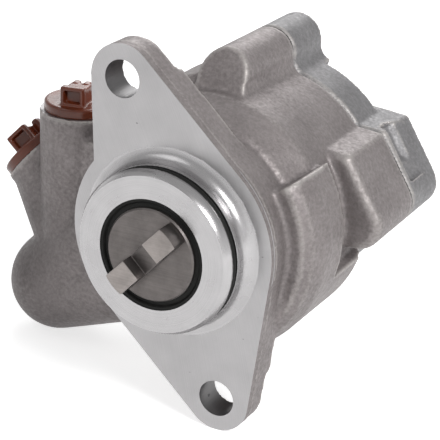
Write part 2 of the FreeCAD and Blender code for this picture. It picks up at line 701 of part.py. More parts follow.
def vane(angle):
    """Flat vane with a rounded tip, drawn in toward the shaft."""
    tip = ROTOR_R - VANE_REST_IN
    length = ROTOR_L - 2 * VANE_SIDE_GAP
    y0 = ROTOR_Y + VANE_SIDE_GAP
    bulge = VANE_T * 0.3
    corners = [V(tip - bulge, 0, -VANE_T / 2), V(tip - VANE_H, 0, -VANE_T / 2),
               V(tip - VANE_H, 0, VANE_T / 2), V(tip - bulge, 0, VANE_T / 2)]
    edges = [Part.makeLine(a, b) for a, b in zip(corners, corners[1:])]
    edges.append(Part.Arc(corners[-1], V(tip, 0, 0), corners[0]).toShape())
    blade = prism(edges, y0, y0 + length)
    blade.rotate(ORIGIN, FORWARD, angle)
    return blade


def cam_radius(angle):
    """Radius of the two-lobed cam at an angle round the shaft."""
    swing = (1 - math.cos(2 * math.radians(angle - CAM_ANGLE))) / 2
    return CAM_MIN_R + (CAM_MAX_R - CAM_MIN_R) * swing


def cam_ring():
    """Ring with the two-lobed cam inside and suction cut-outs on both faces."""
    step = 360.0 / CAM_POINTS
    points = [polar(cam_radius(i * step), i * step) for i in range(CAM_POINTS)]
    curve = Part.BSplineCurve()
    curve.interpolate(points, PeriodicFlag=True)
    hole = prism([curve.toShape()], CAM_Y - 1, REAR_PLATE_Y + 1)
    body = rod(CAM_RING_R, CAM_Y, REAR_PLATE_Y)
    cuts = [hole]
    for turn in (0.0, 180.0):
        dowel = polar(DOWEL_PITCH_R, CAM_ANGLE + turn)
        cuts.append(rod(DOWEL_R, CAM_Y - 1, REAR_PLATE_Y + 1, dowel.x, dowel.z))
        middle = CAM_ANGLE + turn + CUT_TURN
        for y0 in (CAM_Y - 1, REAR_PLATE_Y - CUT_D):
            y1 = y0 + CUT_D + 1
            profile = [(CUT_IN_R, y0), (CAM_RING_R + 1, y0), (CAM_RING_R + 1, y1), (CUT_IN_R, y1)]
            cuts.append(turned(profile, middle - CUT_SWEEP / 2, CUT_SWEEP))
    return body.cut(cuts)


def side_plate(y0, thickness, bore_r, face_y):
    """Port plate with pressure kidneys, suction notches, dowel holes and a foot groove."""
    y1 = y0 + thickness
    cuts = [rod(bore_r, y0 - 1, y1 + 1)]
    for turn in (0.0, 180.0):
        dowel = polar(DOWEL_PITCH_R, CAM_ANGLE + turn)
        cuts.append(rod(DOWEL_R, y0 - 1, y1 + 1, dowel.x, dowel.z))
        cuts.append(slot_arc(KIDNEY_R, KIDNEY_W, y0 - 1, y1 + 1, CAM_ANGLE + turn + KIDNEY_TURN, KIDNEY_SWEEP))
        notch = [(CUT_IN_R, y0 - 1), (PLATE_R + 1, y0 - 1), (PLATE_R + 1, y1 + 1), (CUT_IN_R, y1 + 1)]
        cuts.append(turned(notch, CAM_ANGLE + turn + CUT_TURN - CUT_SWEEP / 2, CUT_SWEEP))
    groove_y = face_y - FOOT_GROOVE_D
    inner = FOOT_GROOVE_R - FOOT_GROOVE_W / 2
    cuts.append(tube(inner + FOOT_GROOVE_W, inner, groove_y, groove_y + 2 * FOOT_GROOVE_D))
    return rod(PLATE_R, y0, y1).cut(cuts)


def dowel_pins():
    """Two dowels through both plates and the cam ring."""
    pins = []
    for turn in (0.0, 180.0):
        place = polar(DOWEL_PITCH_R, CAM_ANGLE + turn)
        pin = rod(DOWEL_R, CARTRIDGE_FLOOR_Y - DOWEL_DEPTH + 0.5, REAR_PLATE_END_Y - 0.5, place.x, place.z)
        pins.append(pin.makeChamfer(0.4, [e for e in pin.Edges if isinstance(e.Curve, Part.Circle)]))
    return Part.makeCompound(pins)


def shaft_seal():
    """Rubber lip seal: outer wall, floor and a lip on the collar."""
    front = SPIGOT_FRONT_Y + SEAL_IN
    lip = COLLAR_R + RUNNING_GAP
    return turned([
        (SEAL_R - SEAL_CASE_T, front), (SEAL_R - SEAL_CASE_T - 0.6, front + 0.8), (lip, front + 0.6),
        (lip, front + 1.6), (lip + 0.8, front + 2.2), (lip + 0.3, front + SEAL_L - 1.6), (lip, front + SEAL_L - 1.2),
        (lip + 0.2, SEAL_FLOOR_Y), (lip + SEAL_LIP_T, SEAL_FLOOR_Y - 0.4), (lip + SEAL_LIP_T, front + 2.6),
        (SEAL_R - SEAL_CASE_T, front + 2.6), (SEAL_R - SEAL_CASE_T, SEAL_FLOOR_Y), (SEAL_R, SEAL_FLOOR_Y), (SEAL_R, front)])


def seal_spring():
    """Garter spring round the seal's inner lip."""
    radius = COLLAR_R + RUNNING_GAP + SEAL_LIP_T + GARTER_GAP + GARTER_WIRE_R
    return ring(radius, GARTER_WIRE_R, SEAL_FLOOR_Y - 1.2)


def plate_spring():
    """Coned spring washer between the rear plate and the cover."""
    low = REAR_PLATE_END_Y
    high = COVER_NOSE_Y
    return turned([(SPRING_OUT_R, low), (SPRING_OUT_R, low + SPRING_T), (SPRING_IN_R, high), (SPRING_IN_R, high - SPRING_T)])


def valve_spool():
    """Flow valve spool: two lands, a neck and a hollow for the relief parts."""
    top_end = SPOOL_TOP_Z - SPOOL_LAND_TOP
    low_start = SPOOL_END_Z + SPOOL_LAND_END
    radius = VALVE_R - VALVE_GAP
    body = Part.makeCylinder(radius, SPOOL_LAND_TOP, V(0, 0, top_end))
    body = body.fuse([Part.makeCylinder(SPOOL_NECK_R, top_end - low_start, V(0, 0, low_start)),
                      Part.makeCylinder(radius, SPOOL_LAND_END, V(0, 0, SPOOL_END_Z))])
    hollow = Part.makeCylinder(SPOOL_HOLE_R, SPOOL_HOLE_D, V(0, 0, SPOOL_END_Z))
    vent = Part.makeCylinder(1.2, 2 * SPOOL_NECK_R, V(-SPOOL_NECK_R, 0, SPOOL_END_Z + SPOOL_HOLE_D - 3), V(1, 0, 0))
    pad = Part.makeCylinder(SPOOL_NECK_R - 1.2, 2, V(0, 0, SPOOL_TOP_Z))
    spool = body.fuse(pad).cut([hollow, vent]).removeSplitter()
    spool.translate(V(PRESSURE_X, PORT_Y, 0))
    return spool


def relief_seat():
    """Drilled seat screw that closes the spool's hollow."""
    seat = Part.makeCylinder(SPOOL_HOLE_R, RELIEF_SEAT_L, V(PRESSURE_X, PORT_Y, SPOOL_END_Z))
    return seat.cut(Part.makeCylinder(RELIEF_SEAT_HOLE_R, RELIEF_SEAT_L, V(PRESSURE_X, PORT_Y, SPOOL_END_Z)))


def relief_ball():
    """Relief ball, on the rim of its seat."""
    lift = math.sqrt(RELIEF_BALL_R ** 2 - RELIEF_SEAT_HOLE_R ** 2)
    return Part.makeSphere(RELIEF_BALL_R, V(PRESSURE_X, PORT_Y, SPOOL_END_Z + RELIEF_SEAT_L + lift + RELIEF_GAP))


def relief_guide():
    """Cupped guide that presses the ball on its seat."""
    base = SPOOL_END_Z + RELIEF_SEAT_L + 2 * RELIEF_BALL_R - 0.6
    guide = Part.makeCylinder(RELIEF_GUIDE_R, RELIEF_GUIDE_L / 2, V(PRESSURE_X, PORT_Y, base))
    stem = Part.makeCylinder(RELIEF_SPRING_R - RELIEF_SPRING_WIRE_R - 0.3, RELIEF_GUIDE_L, V(PRESSURE_X, PORT_Y, base))
    ball = relief_ball().CenterOfMass
    return guide.fuse(stem).cut(Part.makeSphere(RELIEF_BALL_R + RELIEF_GAP, ball)).removeSplitter()


def relief_spring():
    """Small spring above the relief guide."""
    base = SPOOL_END_Z + RELIEF_SEAT_L + 2 * RELIEF_BALL_R - 0.6 + RELIEF_GUIDE_L / 2
    top = SPOOL_END_Z + SPOOL_HOLE_D
    spring = coil(RELIEF_SPRING_R, RELIEF_SPRING_WIRE_R, top - base, RELIEF_SPRING_TURNS)
    spring.translate(V(PRESSURE_X, PORT_Y, base))
    return spring


def valve_spring():
    """Spring that holds the spool against its stop ring."""
    spring = coil(VALVE_SPRING_R, VALVE_SPRING_WIRE_R, SPOOL_END_Z - VALVE_FLOOR_Z, VALVE_SPRING_TURNS)
    spring.translate(V(PRESSURE_X, PORT_Y, VALVE_FLOOR_Z))
    return spring


def stop_ring():
    """Wire ring in the valve bore above the spool."""
    wire = STOP_RING_WIRE
    outer = Part.makeCylinder(VALVE_R, wire, V(PRESSURE_X, PORT_Y, SPOOL_TOP_Z))
    return outer.cut(Part.makeCylinder(VALVE_R - 1.6, wire, V(PRESSURE_X, PORT_Y, SPOOL_TOP_Z)))


def transport_plug(bore_r, boss_r, stem_l, turn):
    """Push-in plug standing on z = 0: hollow stem, disc and a crossed finger grip."""
    disc_r = boss_r - PLUG_DISC_IN
    stem_r = bore_r - PLUG_GAP
    disc = Part.makeCylinder(disc_r, PLUG_DISC_T)
    disc = disc.makeFillet(0.8, [e for e in disc.Edges if abs(e.BoundBox.ZMin - PLUG_DISC_T) < 0.01])
    stem = Part.makeCylinder(stem_r, stem_l + 1, V(0, 0, -stem_l))
    stem = stem.cut(Part.makeCylinder(stem_r - PLUG_STEM_WALL, stem_l, V(0, 0, -stem_l)))
    hub = Part.makeCylinder(PLUG_HUB_R, PLUG_DISC_T + PLUG_GRIP_H)
    reach = disc_r - PLUG_GRIP_IN
    solids = [disc, stem, hub]
    for quarter in range(4):
        wing = Part.makeBox(reach, PLUG_GRIP_T, PLUG_GRIP_H + 1, V(0, -PLUG_GRIP_T / 2, PLUG_DISC_T - 1))
        outer = [e for e in wing.Edges if abs(e.BoundBox.XMin - reach) < 0.01 and e.BoundBox.ZMin > PLUG_DISC_T + 1]
        wing = wing.makeFillet(1.2, outer)
        window_l = reach - PLUG_HUB_R - 1.2 - PLUG_WINDOW_IN
        window = Part.makeBox(window_l, PLUG_GRIP_T + 2, PLUG_GRIP_H - 2 * PLUG_WINDOW_IN,
                              V(PLUG_HUB_R + 1.2, -PLUG_GRIP_T / 2 - 1, PLUG_DISC_T + PLUG_WINDOW_IN))
        wing = wing.cut(window)
        wing.rotate(ORIGIN, V(0, 0, 1), 90 * quarter + turn)
        solids.append(wing)
    return fused(solids)


def pressure_port_plug():
    """Plug in the pressure port."""
    plug = transport_plug(PRESSURE_BORE_R, PRESSURE_BOSS_R, PRESSURE_STEM_L, PRESSURE_PLUG_TURN)
    plug.translate(V(PRESSURE_X, PORT_Y, PRESSURE_FACE_Z))
    return plug


def suction_port_plug():
    """Plug in the suction port."""
    plug = transport_plug(SUCTION_BORE_R, SUCTION_BOSS_R + SUCTION_DISC_OVER, SUCTION_STEM_L, SUCTION_PLUG_TURN)
    plug.rotate(ORIGIN, V(0, 1, 0), -SUCTION_TILT)
    plug.translate(suction_face())
    return plug


def sub_parts():
    """Every sub-part by name."""
    spigot_groove_y = SPIGOT_FRONT_Y + SPIGOT_NOSE_L + SPIGOT_LAND + SPIGOT_GROOVE_W / 2
    cover_ring_y = COVER_NOSE_Y + 0.9 + COVER_RING_WIRE_R + 0.15
    parts = {
        "pump_housing": pump_housing(),
        "rear_cover": rear_cover(),
        "cover_screws": cover_screws(),
        "cover_seal_ring": ring(CARTRIDGE_R - RING_SEAT_GAP - COVER_RING_WIRE_R, COVER_RING_WIRE_R, cover_ring_y),
        "spigot_seal_ring": ring(SPIGOT_R - RING_SEAT_GAP - SPIGOT_RING_WIRE_R, SPIGOT_RING_WIRE_R, spigot_groove_y),
        "shaft_seal": shaft_seal(),
        "seal_garter_spring": seal_spring(),
        "front_bush": tube(JOURNAL_R + BUSH_WALL, JOURNAL_R + RUNNING_GAP, FRONT_BUSH_Y, FRONT_BUSH_END_Y),
        "rear_bush": tube(TAIL_R + BUSH_WALL, TAIL_R + RUNNING_GAP, COVER_NOSE_Y, COVER_NOSE_Y + REAR_BUSH_L),
        "drive_shaft": drive_shaft(),
        "rotor": rotor(),
        "rotor_retaining_ring": split_ring(SPLINE_R + 1.4, SPLINE_R - CLIP_DEPTH, REAR_PLATE_Y + 0.45, CLIP_WIRE, CLIP_GAP_ANGLE),
        "cam_ring": cam_ring(),
        "front_side_plate": side_plate(FRONT_PLATE_Y, FRONT_PLATE_T, SPLINE_R + 0.8, CAM_Y),
        "rear_pressure_plate": side_plate(REAR_PLATE_Y, REAR_PLATE_T, SPLINE_R + 1.8, REAR_PLATE_Y),
        "dowel_pins": dowel_pins(),
        "plate_spring_washer": plate_spring(),
        "valve_spool": valve_spool(),
        "valve_spring": valve_spring(),
        "valve_stop_ring": stop_ring(),
        "relief_seat": relief_seat(),
        "relief_ball": relief_ball(),
        "relief_guide": relief_guide(),
        "relief_spring": relief_spring(),
        "pressure_port_plug": pressure_port_plug(),
        "suction_port_plug": suction_port_plug(),
    }
    for index, angle in enumerate(VANE_ANGLES):
        parts["vane_%d" % (index + 1)] = vane(angle)
    return parts


os.makedirs("parts", exist_ok=True)
for name, shape in sub_parts().items():
    shape.exportStep("parts/%s.step" % name)
    print(name, "solids", len(shape.Solids), "volume", round(shape.Volume, 1), "valid", shape.isValid())
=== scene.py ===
"""Looks for a power steering pump: cast housing and cover, turned spigot, steel shaft, seals and port plugs.
The shaft lies along Y with its drive end toward -Y, Z is up, and every size is in metres."""

import math

import bmesh
import bpy
from mathutils import Matrix, Vector, noise


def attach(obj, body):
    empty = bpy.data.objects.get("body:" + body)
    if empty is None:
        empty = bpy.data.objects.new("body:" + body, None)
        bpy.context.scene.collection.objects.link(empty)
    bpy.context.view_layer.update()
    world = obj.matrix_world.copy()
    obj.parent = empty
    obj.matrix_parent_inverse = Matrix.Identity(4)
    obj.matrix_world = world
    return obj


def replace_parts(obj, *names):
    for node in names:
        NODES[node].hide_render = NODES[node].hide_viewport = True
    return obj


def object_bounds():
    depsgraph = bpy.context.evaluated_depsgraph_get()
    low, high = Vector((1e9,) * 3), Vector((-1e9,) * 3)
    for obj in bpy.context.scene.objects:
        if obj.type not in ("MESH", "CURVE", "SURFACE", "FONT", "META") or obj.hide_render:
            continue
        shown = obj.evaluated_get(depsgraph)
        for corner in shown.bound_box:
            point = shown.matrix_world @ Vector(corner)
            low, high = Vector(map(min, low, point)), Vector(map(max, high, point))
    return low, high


bl_info = {
    "name": "Power steering pump",
    "version": (1, 0, 0),
    "blender": (4, 5, 0),
    "location": "View3D > Sidebar > Pump",
    "description": "Softened castings, machined faces, seals and plugs for a vane pump",
    "category": "Object",
}

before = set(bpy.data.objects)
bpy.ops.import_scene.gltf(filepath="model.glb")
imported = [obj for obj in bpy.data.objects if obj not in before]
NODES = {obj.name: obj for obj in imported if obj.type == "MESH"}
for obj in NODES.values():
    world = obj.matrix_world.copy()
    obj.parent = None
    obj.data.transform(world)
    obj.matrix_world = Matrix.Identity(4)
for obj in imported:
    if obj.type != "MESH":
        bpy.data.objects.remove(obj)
CAD_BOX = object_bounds()

MM = 0.001
MERGE = 1e-6
FORWARD = Vector((0, -1, 0))
BACKWARD = Vector((0, 1, 0))
UPWARD = Vector((0, 0, 1))

# How near a point has to be to count as on a face, and how flat two faces have to be to be joined
SAME_PLACE = 0.01 * MM
FACE_TOLERANCE = 0.1 * MM
FLAT_ANGLE = math.radians(0.6)

# Places that the machined faces and holes follow, as on the solid parts
JOINT_Y = 68.7 * MM
JOINT_FLAT_R = 38.5 * MM
JOINT_CENTRE = Vector((0, JOINT_Y, 0))
FLANGE_SOLID_T = 11.0 * MM
LUG_SOLID_T = 8.0 * MM
BOLT_SPACING = 106.4 * MM
FLANGE_ANGLE = math.radians(110)
BOLT_HOLE_R = 6.1 * MM
SPOT_FACE_R = 13.5 * MM
CARTRIDGE_R = 35.3 * MM
CARTRIDGE_FLOOR_Y = 27.0 * MM
SPIGOT_R = 27.0 * MM
TURNED_FACE_R = SPIGOT_R + 4.5 * MM
COLLAR_Y = -12.2 * MM
TANG_ANGLE = math.radians(46.7)
PORT_TOP = Vector((-57.0, 38.0, 22.6)) * MM
PORT_BOSS_R = 14.8 * MM
PORT_BORE_R = 9.2 * MM
PORT_BORE_D = 12.0 * MM
VALVE_R = 8.0 * MM
VALVE_D = 69.6 * MM
SUCTION_FACE = Vector((-77.8, 44.0, 0.8)) * MM
SUCTION_TILT = math.radians(49)
SUCTION_OUT = Vector((-math.sin(SUCTION_TILT), 0, math.cos(SUCTION_TILT)))
SUCTION_BOSS_R = 16.0 * MM
SUCTION_BORE_R = 10.6 * MM
SUCTION_BORE_D = 6.5 * MM
LOBE_PITCH_R = 44.6 * MM
LOBE_ANGLES = [math.radians(2 + 90 * i) for i in range(4)]
SCREW_SEAT_Y = 81.0 * MM
SCREW_BORE_R = 6.85 * MM
COVER_LOBE_Y = 90.0 * MM
MILLED_DISCS = (
    (JOINT_CENTRE, BACKWARD, JOINT_FLAT_R),
    (PORT_TOP, UPWARD, PORT_BOSS_R),
    (SUCTION_FACE, SUCTION_OUT, SUCTION_BOSS_R),
)

# Cast forms that stand over the solid housing: thicker flange and lugs, and a pad on the drum's upper left
FLANGE_T = 13.2 * MM
LUG_T = 10.6 * MM
CASTING_FRONT_Y = 1.9 * MM
DRUM_CORE_R = 30.0 * MM
PAD_R = 45.2 * MM
PAD_FRONT_Y = 36.0 * MM
PAD_REAR_Y = 57.0 * MM
PAD_SLOPE = 4.0 * MM
PAD_START = math.radians(103)
PAD_SWEEP = math.radians(65)
PAD_STEPS = 28

# Wall that closes the suction passage behind the port barrel
GALLERY_LOW = Vector((-62.0, 50.8, -15.0)) * MM
GALLERY_HIGH = Vector((-43.0, 58.0, -1.0)) * MM

# Shallow pocket in the outer side of the cover
POCKET_X = 38.0 * MM
POCKET_LOW_Z = 12.0 * MM
POCKET_HIGH_Z = 36.0 * MM
POCKET_FRONT_Y = 71.0 * MM
POCKET_REAR_Y = 80.0 * MM
POCKET_EDGE = 2.2 * MM
POCKET_D = 1.1 * MM

# Groove that shows where housing and cover meet
GROOVE_HALF_WIDTH = 1.1 * MM
HOUSING_GROOVE_D = 0.8 * MM
COVER_GROOVE_D = 0.6 * MM

# Grips of the port plugs: gap between the posts, height of the posts and height of the web
PLUG_DISC_T = 3.4 * MM
PRESSURE_PLUG_TURN = math.radians(11)
SUCTION_PLUG_TURN = math.radians(20)
PRESSURE_GRIP = (3.8 * MM, 6.0 * MM, 3.0 * MM)
SUCTION_GRIP = (11.0 * MM, 6.6 * MM, 4.8 * MM)
GRIP_SUNK = 1.2 * MM
LOOP_H = 6.5 * MM
LOOP_HALF = 4.2 * MM
LOOP_WALL = 1.5 * MM
LOOP_FRONT = -9.7 * MM
LOOP_BACK = -6.7 * MM
POST_HALF = 1.3 * MM

# Share of the mesh spacing within which softened points go back to a machined face
TRUE_REACH = 0.8

# Angles past which an edge looks sharp, and past which a machined edge is broken
PLAIN_CREASE = math.radians(32)
CAST_CREASE = math.radians(60)
PLUG_CREASE = math.radians(80)
BREAK_ANGLE = math.radians(40)

# How often a copy is smoothed to find the crests, and how far they may be lifted
HOUSING_CREST_PASSES = 8
HOUSING_CREST_LIMIT = 0.35 * MM
COVER_CREST_PASSES = 6
COVER_CREST_LIMIT = 0.25 * MM

# Unevenness of the cast skin: waves per metre, the finer waves' ratio, and how far the skin is sunk
SKIN_WAVES = 160.0
FINE_WAVES = 2.3
SKIN_SINK = 0.6

# Painted shade on the left and lower side of the port barrel, and the painted shadow in the joint's gap with
# its half width and inner edge
BARREL_SHADE_X = (-40.0 * MM, -70.0 * MM)
BARREL_SHADE_Z = (6.0 * MM, -16.0 * MM)
JOINT_SHADOW_HALF_WIDTH = (0.5 * MM, 0.3 * MM)
JOINT_SHADOW_RADIUS = (46.5 * MM, 48.5 * MM)
JOINT_SHADOW_COLOUR = (0.012, 0.011, 0.010)

# Shift that sets the centre of the cutter's arcs beside the flange, and the slant of the nicks
CUTTER_OFFSET = (0.35, 0.0, 0.12)
NICK_SLANT = math.radians(35)

HARD_PARTS = (
    "rotor", "cam_ring", "front_side_plate", "rear_pressure_plate", "dowel_pins",
    "valve_spool", "relief_seat", "relief_ball", "relief_guide",
)
SPRING_PARTS = (
    "rotor_retaining_ring", "plate_spring_washer", "valve_spring", "relief_spring",
    "valve_stop_ring", "seal_garter_spring",
)
BRONZE_PARTS = ("front_bush", "rear_bush")
RUBBER_PARTS = ("shaft_seal", "spigot_seal_ring", "cover_seal_ring")

# Floor and room: light that the floor gives back, its own glow, and the ceiling's level in reflections
FLOOR_Z = CAD_BOX[0][2]
FLOOR_BOUNCE = 0.28
FLOOR_GLOW = 0.7
CEILING = 0.55
LAMP_AIM = Vector((0, 0.03, 0))

# The camera stands in front of the drive end, to its right and above
CAMERA_PLACE = Vector((234.978, -416.179, 206.278)) * MM
CAMERA_RIGHT = Vector((0.879035, 0.475573, 0.033593))
CAMERA_DOWN = Vector((0.209749, -0.322491, -0.923041))
CAMERA_AHEAD = Vector((-0.428140, 0.818431, -0.383232))
FOCAL_PX = 1667.65
IMAGE_PX = 440
SENSOR_MM = 36.0


def ring_place(radius, angle, y=0.0):
    """Point at a radius and an angle round the shaft."""
    return Vector((radius * math.cos(angle), y, radius * math.sin(angle)))


BOLT_HOLES = [ring_place(BOLT_SPACING / 2, FLANGE_ANGLE + turn) for turn in (0, math.pi)]
LOBE_HOLES = [ring_place(LOBE_PITCH_R, angle) for angle in LOBE_ANGLES]


class CastingSizes(bpy.types.PropertyGroup):
    """Softness and colour of the cast surfaces."""
    housing_grid: bpy.props.FloatProperty(
        name="Housing grid", description="Mesh spacing of the softened housing",
        default=0.9 * MM, unit="LENGTH", precision=5)
    cover_grid: bpy.props.FloatProperty(
        name="Cover grid", description="Mesh spacing of the softened cover",
        default=0.7 * MM, unit="LENGTH", precision=5)
    soft_passes: bpy.props.IntProperty(
        name="Soft passes", description="How often the cast edges are rounded",
        default=3, min=0, max=20)
    crest: bpy.props.FloatProperty(
        name="Crest", description="How far the cast crests stand out", default=0.8, min=0, max=2)
    ripple: bpy.props.FloatProperty(
        name="Ripple", description="Height of the uneven cast skin",
        default=0.05 * MM, unit="LENGTH", precision=5)
    pebble: bpy.props.FloatProperty(
        name="Pebble", description="Height of the sand grain on the skin",
        default=0.16 * MM, unit="LENGTH", precision=5)
    dark: bpy.props.FloatVectorProperty(
        name="Dark casting", description="Darker tone of the housing",
        subtype="COLOR", default=(0.184, 0.163, 0.162))
    pale: bpy.props.FloatVectorProperty(
        name="Pale casting", description="Paler tone of the housing",
        subtype="COLOR", default=(0.325, 0.295, 0.292))
    cover_dark: bpy.props.FloatVectorProperty(
        name="Dark cover", description="Darker tone of the cover",
        subtype="COLOR", default=(0.17, 0.165, 0.17))
    cover_pale: bpy.props.FloatVectorProperty(
        name="Pale cover", description="Paler tone of the cover",
        subtype="COLOR", default=(0.30, 0.295, 0.30))
    # Tone of the worn edges, which also carries the painted highlight along the cast crests
    worn_and_highlit_tone: bpy.props.FloatVectorProperty(
        name="Worn and highlit edge", description="Tone of the rubbed edges",
        subtype="COLOR", default=(0.52, 0.49, 0.47))


class MachinedSizes(bpy.types.PropertyGroup):
    """Edge breaks and colour of the machined surfaces."""
    edge_break: bpy.props.FloatProperty(
        name="Edge break", description="Width of the broken edges on the flange and spigot",
        default=0.3 * MM, unit="LENGTH", precision=5)
    front_depth: bpy.props.FloatProperty(
        name="Crisp depth", description="Depth of the crisp front layer, which reaches into the casting",
        default=6.5 * MM, unit="LENGTH", precision=5)
    milled: bpy.props.FloatVectorProperty(
        name="Milled aluminium", description="Tone of the flange face",
        subtype="COLOR", default=(0.45, 0.44, 0.445))
    turned: bpy.props.FloatVectorProperty(
        name="Turned aluminium", description="Tone of the spigot",
        subtype="COLOR", default=(0.48, 0.47, 0.475))
    steel: bpy.props.FloatVectorProperty(
        name="Ground steel", description="Tone of the shaft",
        subtype="COLOR", default=(0.16, 0.145, 0.14))
    # Paler copy of the shaft's steel, given to the tang's faces that point forward
    tang: bpy.props.FloatVectorProperty(
        name="Paler tang steel", description="Tone of the tang's end",
        subtype="COLOR", default=(0.33, 0.30, 0.285))


class PlasticSizes(bpy.types.PropertyGroup):
    """Grid and colour of the port plugs and rubber parts."""
    plug_grid: bpy.props.FloatProperty(
        name="Plug grid", description="Mesh spacing of the softened plugs",
        default=0.28 * MM, unit="LENGTH", precision=5)
    plug: bpy.props.FloatVectorProperty(
        name="Plug plastic", description="Tone of the transport plugs",
        subtype="COLOR", default=(0.21, 0.042, 0.014))
    rubber: bpy.props.FloatVectorProperty(
        name="Rubber", description="Tone of the seals", subtype="COLOR", default=(0.007, 0.007, 0.0065))


class StageSizes(bpy.types.PropertyGroup):
    """Lamps and floor."""
    key_power: bpy.props.FloatProperty(
        name="Key lamp", description="Power of the main lamp in watts", default=8.6, min=0)
    fill_power: bpy.props.FloatProperty(
        name="Fill lamp", description="Power of the side lamp in watts", default=1.2, min=0)
    rear_power: bpy.props.FloatProperty(
        name="Rear lamp", description="Power of the lamp behind in watts", default=5.0, min=0)
    room: bpy.props.FloatProperty(
        name="Room light", description="Level of the light from all round", default=0.22, min=0)
    floor: bpy.props.FloatVectorProperty(
        name="Floor", description="Tone of the floor", subtype="COLOR", default=(0.82, 0.82, 0.82))


def add(tree, kind, **settings):
    """New shader node with its settings."""
    made = tree.nodes.new(kind)
    for key, value in settings.items():
        setattr(made, key, value)
    return made


def new_finish(name):
    """Empty material with its node tree, shader and place output."""
    finish = bpy.data.materials.new(name)
    finish.use_nodes = True
    tree = finish.node_tree
    place = add(tree, "ShaderNodeTexCoord").outputs["Object"]
    return finish, tree, tree.nodes["Principled BSDF"], place


def grain(tree, place, scale, detail=4.0, rough=0.5):
    """Noise value at so many features per metre."""
    made = add(tree, "ShaderNodeTexNoise")
    made.inputs["Scale"].default_value = scale
    made.inputs["Detail"].default_value = detail
    made.inputs["Roughness"].default_value = rough
    tree.links.new(place, made.inputs["Vector"])
    return made.outputs["Fac"]


def stretched(tree, place, scale, turn=(0, 0, 0)):
    """Place scaled along each axis, for lines and streaks."""
    made = add(tree, "ShaderNodeMapping")
    made.inputs["Scale"].default_value = scale
    made.inputs["Rotation"].default_value = turn
    tree.links.new(place, made.inputs["Vector"])
    return made.outputs["Vector"]


def spread(tree, value, low, high, start=0.0, end=1.0):
    """Value mapped from low..high to start..end, and clamped."""
    made = add(tree, "ShaderNodeMapRange")
    made.inputs["From Min"].default_value = low
    made.inputs["From Max"].default_value = high
    made.inputs["To Min"].default_value = start
    made.inputs["To Max"].default_value = end
    tree.links.new(value, made.inputs["Value"])
    return made.outputs["Result"]


def sum_of(tree, first, second, operation="ADD"):
    """Two values joined by arithmetic."""
    made = add(tree, "ShaderNodeMath", operation=operation)
    for socket, value in zip(made.inputs, (first, second)):
        if isinstance(value, (int, float)):
            socket.default_value = value
        else:
            tree.links.new(value, socket)
    return made.outputs["Value"]


def between(tree, factor, first, second):
    """Colour between two colours or colour outputs."""
    made = add(tree, "ShaderNodeMix", data_type="RGBA")
    tree.links.new(factor, made.inputs["Factor"])
    for socket, value in ((made.inputs[6], first), (made.inputs[7], second)):
        if isinstance(value, bpy.types.NodeSocket):
            tree.links.new(value, socket)
        else:
            socket.default_value = (*value, 1.0)
    return made.outputs[2]


def dents(tree, height, depth, below=None):
    """Bump normal from a height value and its depth in metres."""
    made = add(tree, "ShaderNodeBump")
    made.inputs["Strength"].default_value = 1.0
    made.inputs["Distance"].default_value = depth
    tree.links.new(height, made.inputs["Height"])
    if below is not None:
        tree.links.new(below, made.inputs["Normal"])
    return made.outputs["Normal"]


def shade(colour, share):
    """Colour darkened or lightened by a share."""
    return tuple(min(1.0, part * share) for part in colour)


def axes(tree, place):
    """The three coordinates of a place."""
    made = add(tree, "ShaderNodeSeparateXYZ")
    tree.links.new(place, made.inputs["Vector"])
    return made.outputs["X"], made.outputs["Y"], made.outputs["Z"]


def length_of(tree, vector):
    """Length of a vector output."""
    made = add(tree, "ShaderNodeVectorMath", operation="LENGTH")
    tree.links.new(vector, made.inputs[0])
    return made.outputs["Value"]


def from_shaft(tree, place):
    """Distance from the shaft's axis."""
    across = add(tree, "ShaderNodeVectorMath", operation="MULTIPLY")
    across.inputs[1].default_value = (1, 0, 1)
    tree.links.new(place, across.inputs[0])
    return length_of(tree, across.outputs["Vector"])


def tool_lines(tree, distance, scale):
    """Fine lines that a cutter leaves along a distance."""
    made = add(tree, "ShaderNodeTexNoise", noise_dimensions="1D")
    made.inputs["Scale"].default_value = scale
    made.inputs["Detail"].default_value = 3
    tree.links.new(distance, made.inputs["W"])
    return made.outputs["Fac"]


def join(tree, shader, colour, dull, bumps, metallic=0.0):
    """Links a finish's colour, roughness and bumps to its shader."""
    tree.links.new(colour, shader.inputs["Base Color"])
    tree.links.new(dull, shader.inputs["Roughness"])
    tree.links.new(bumps, shader.inputs["Normal"])
    shader.inputs["Metallic"].default_value = metallic


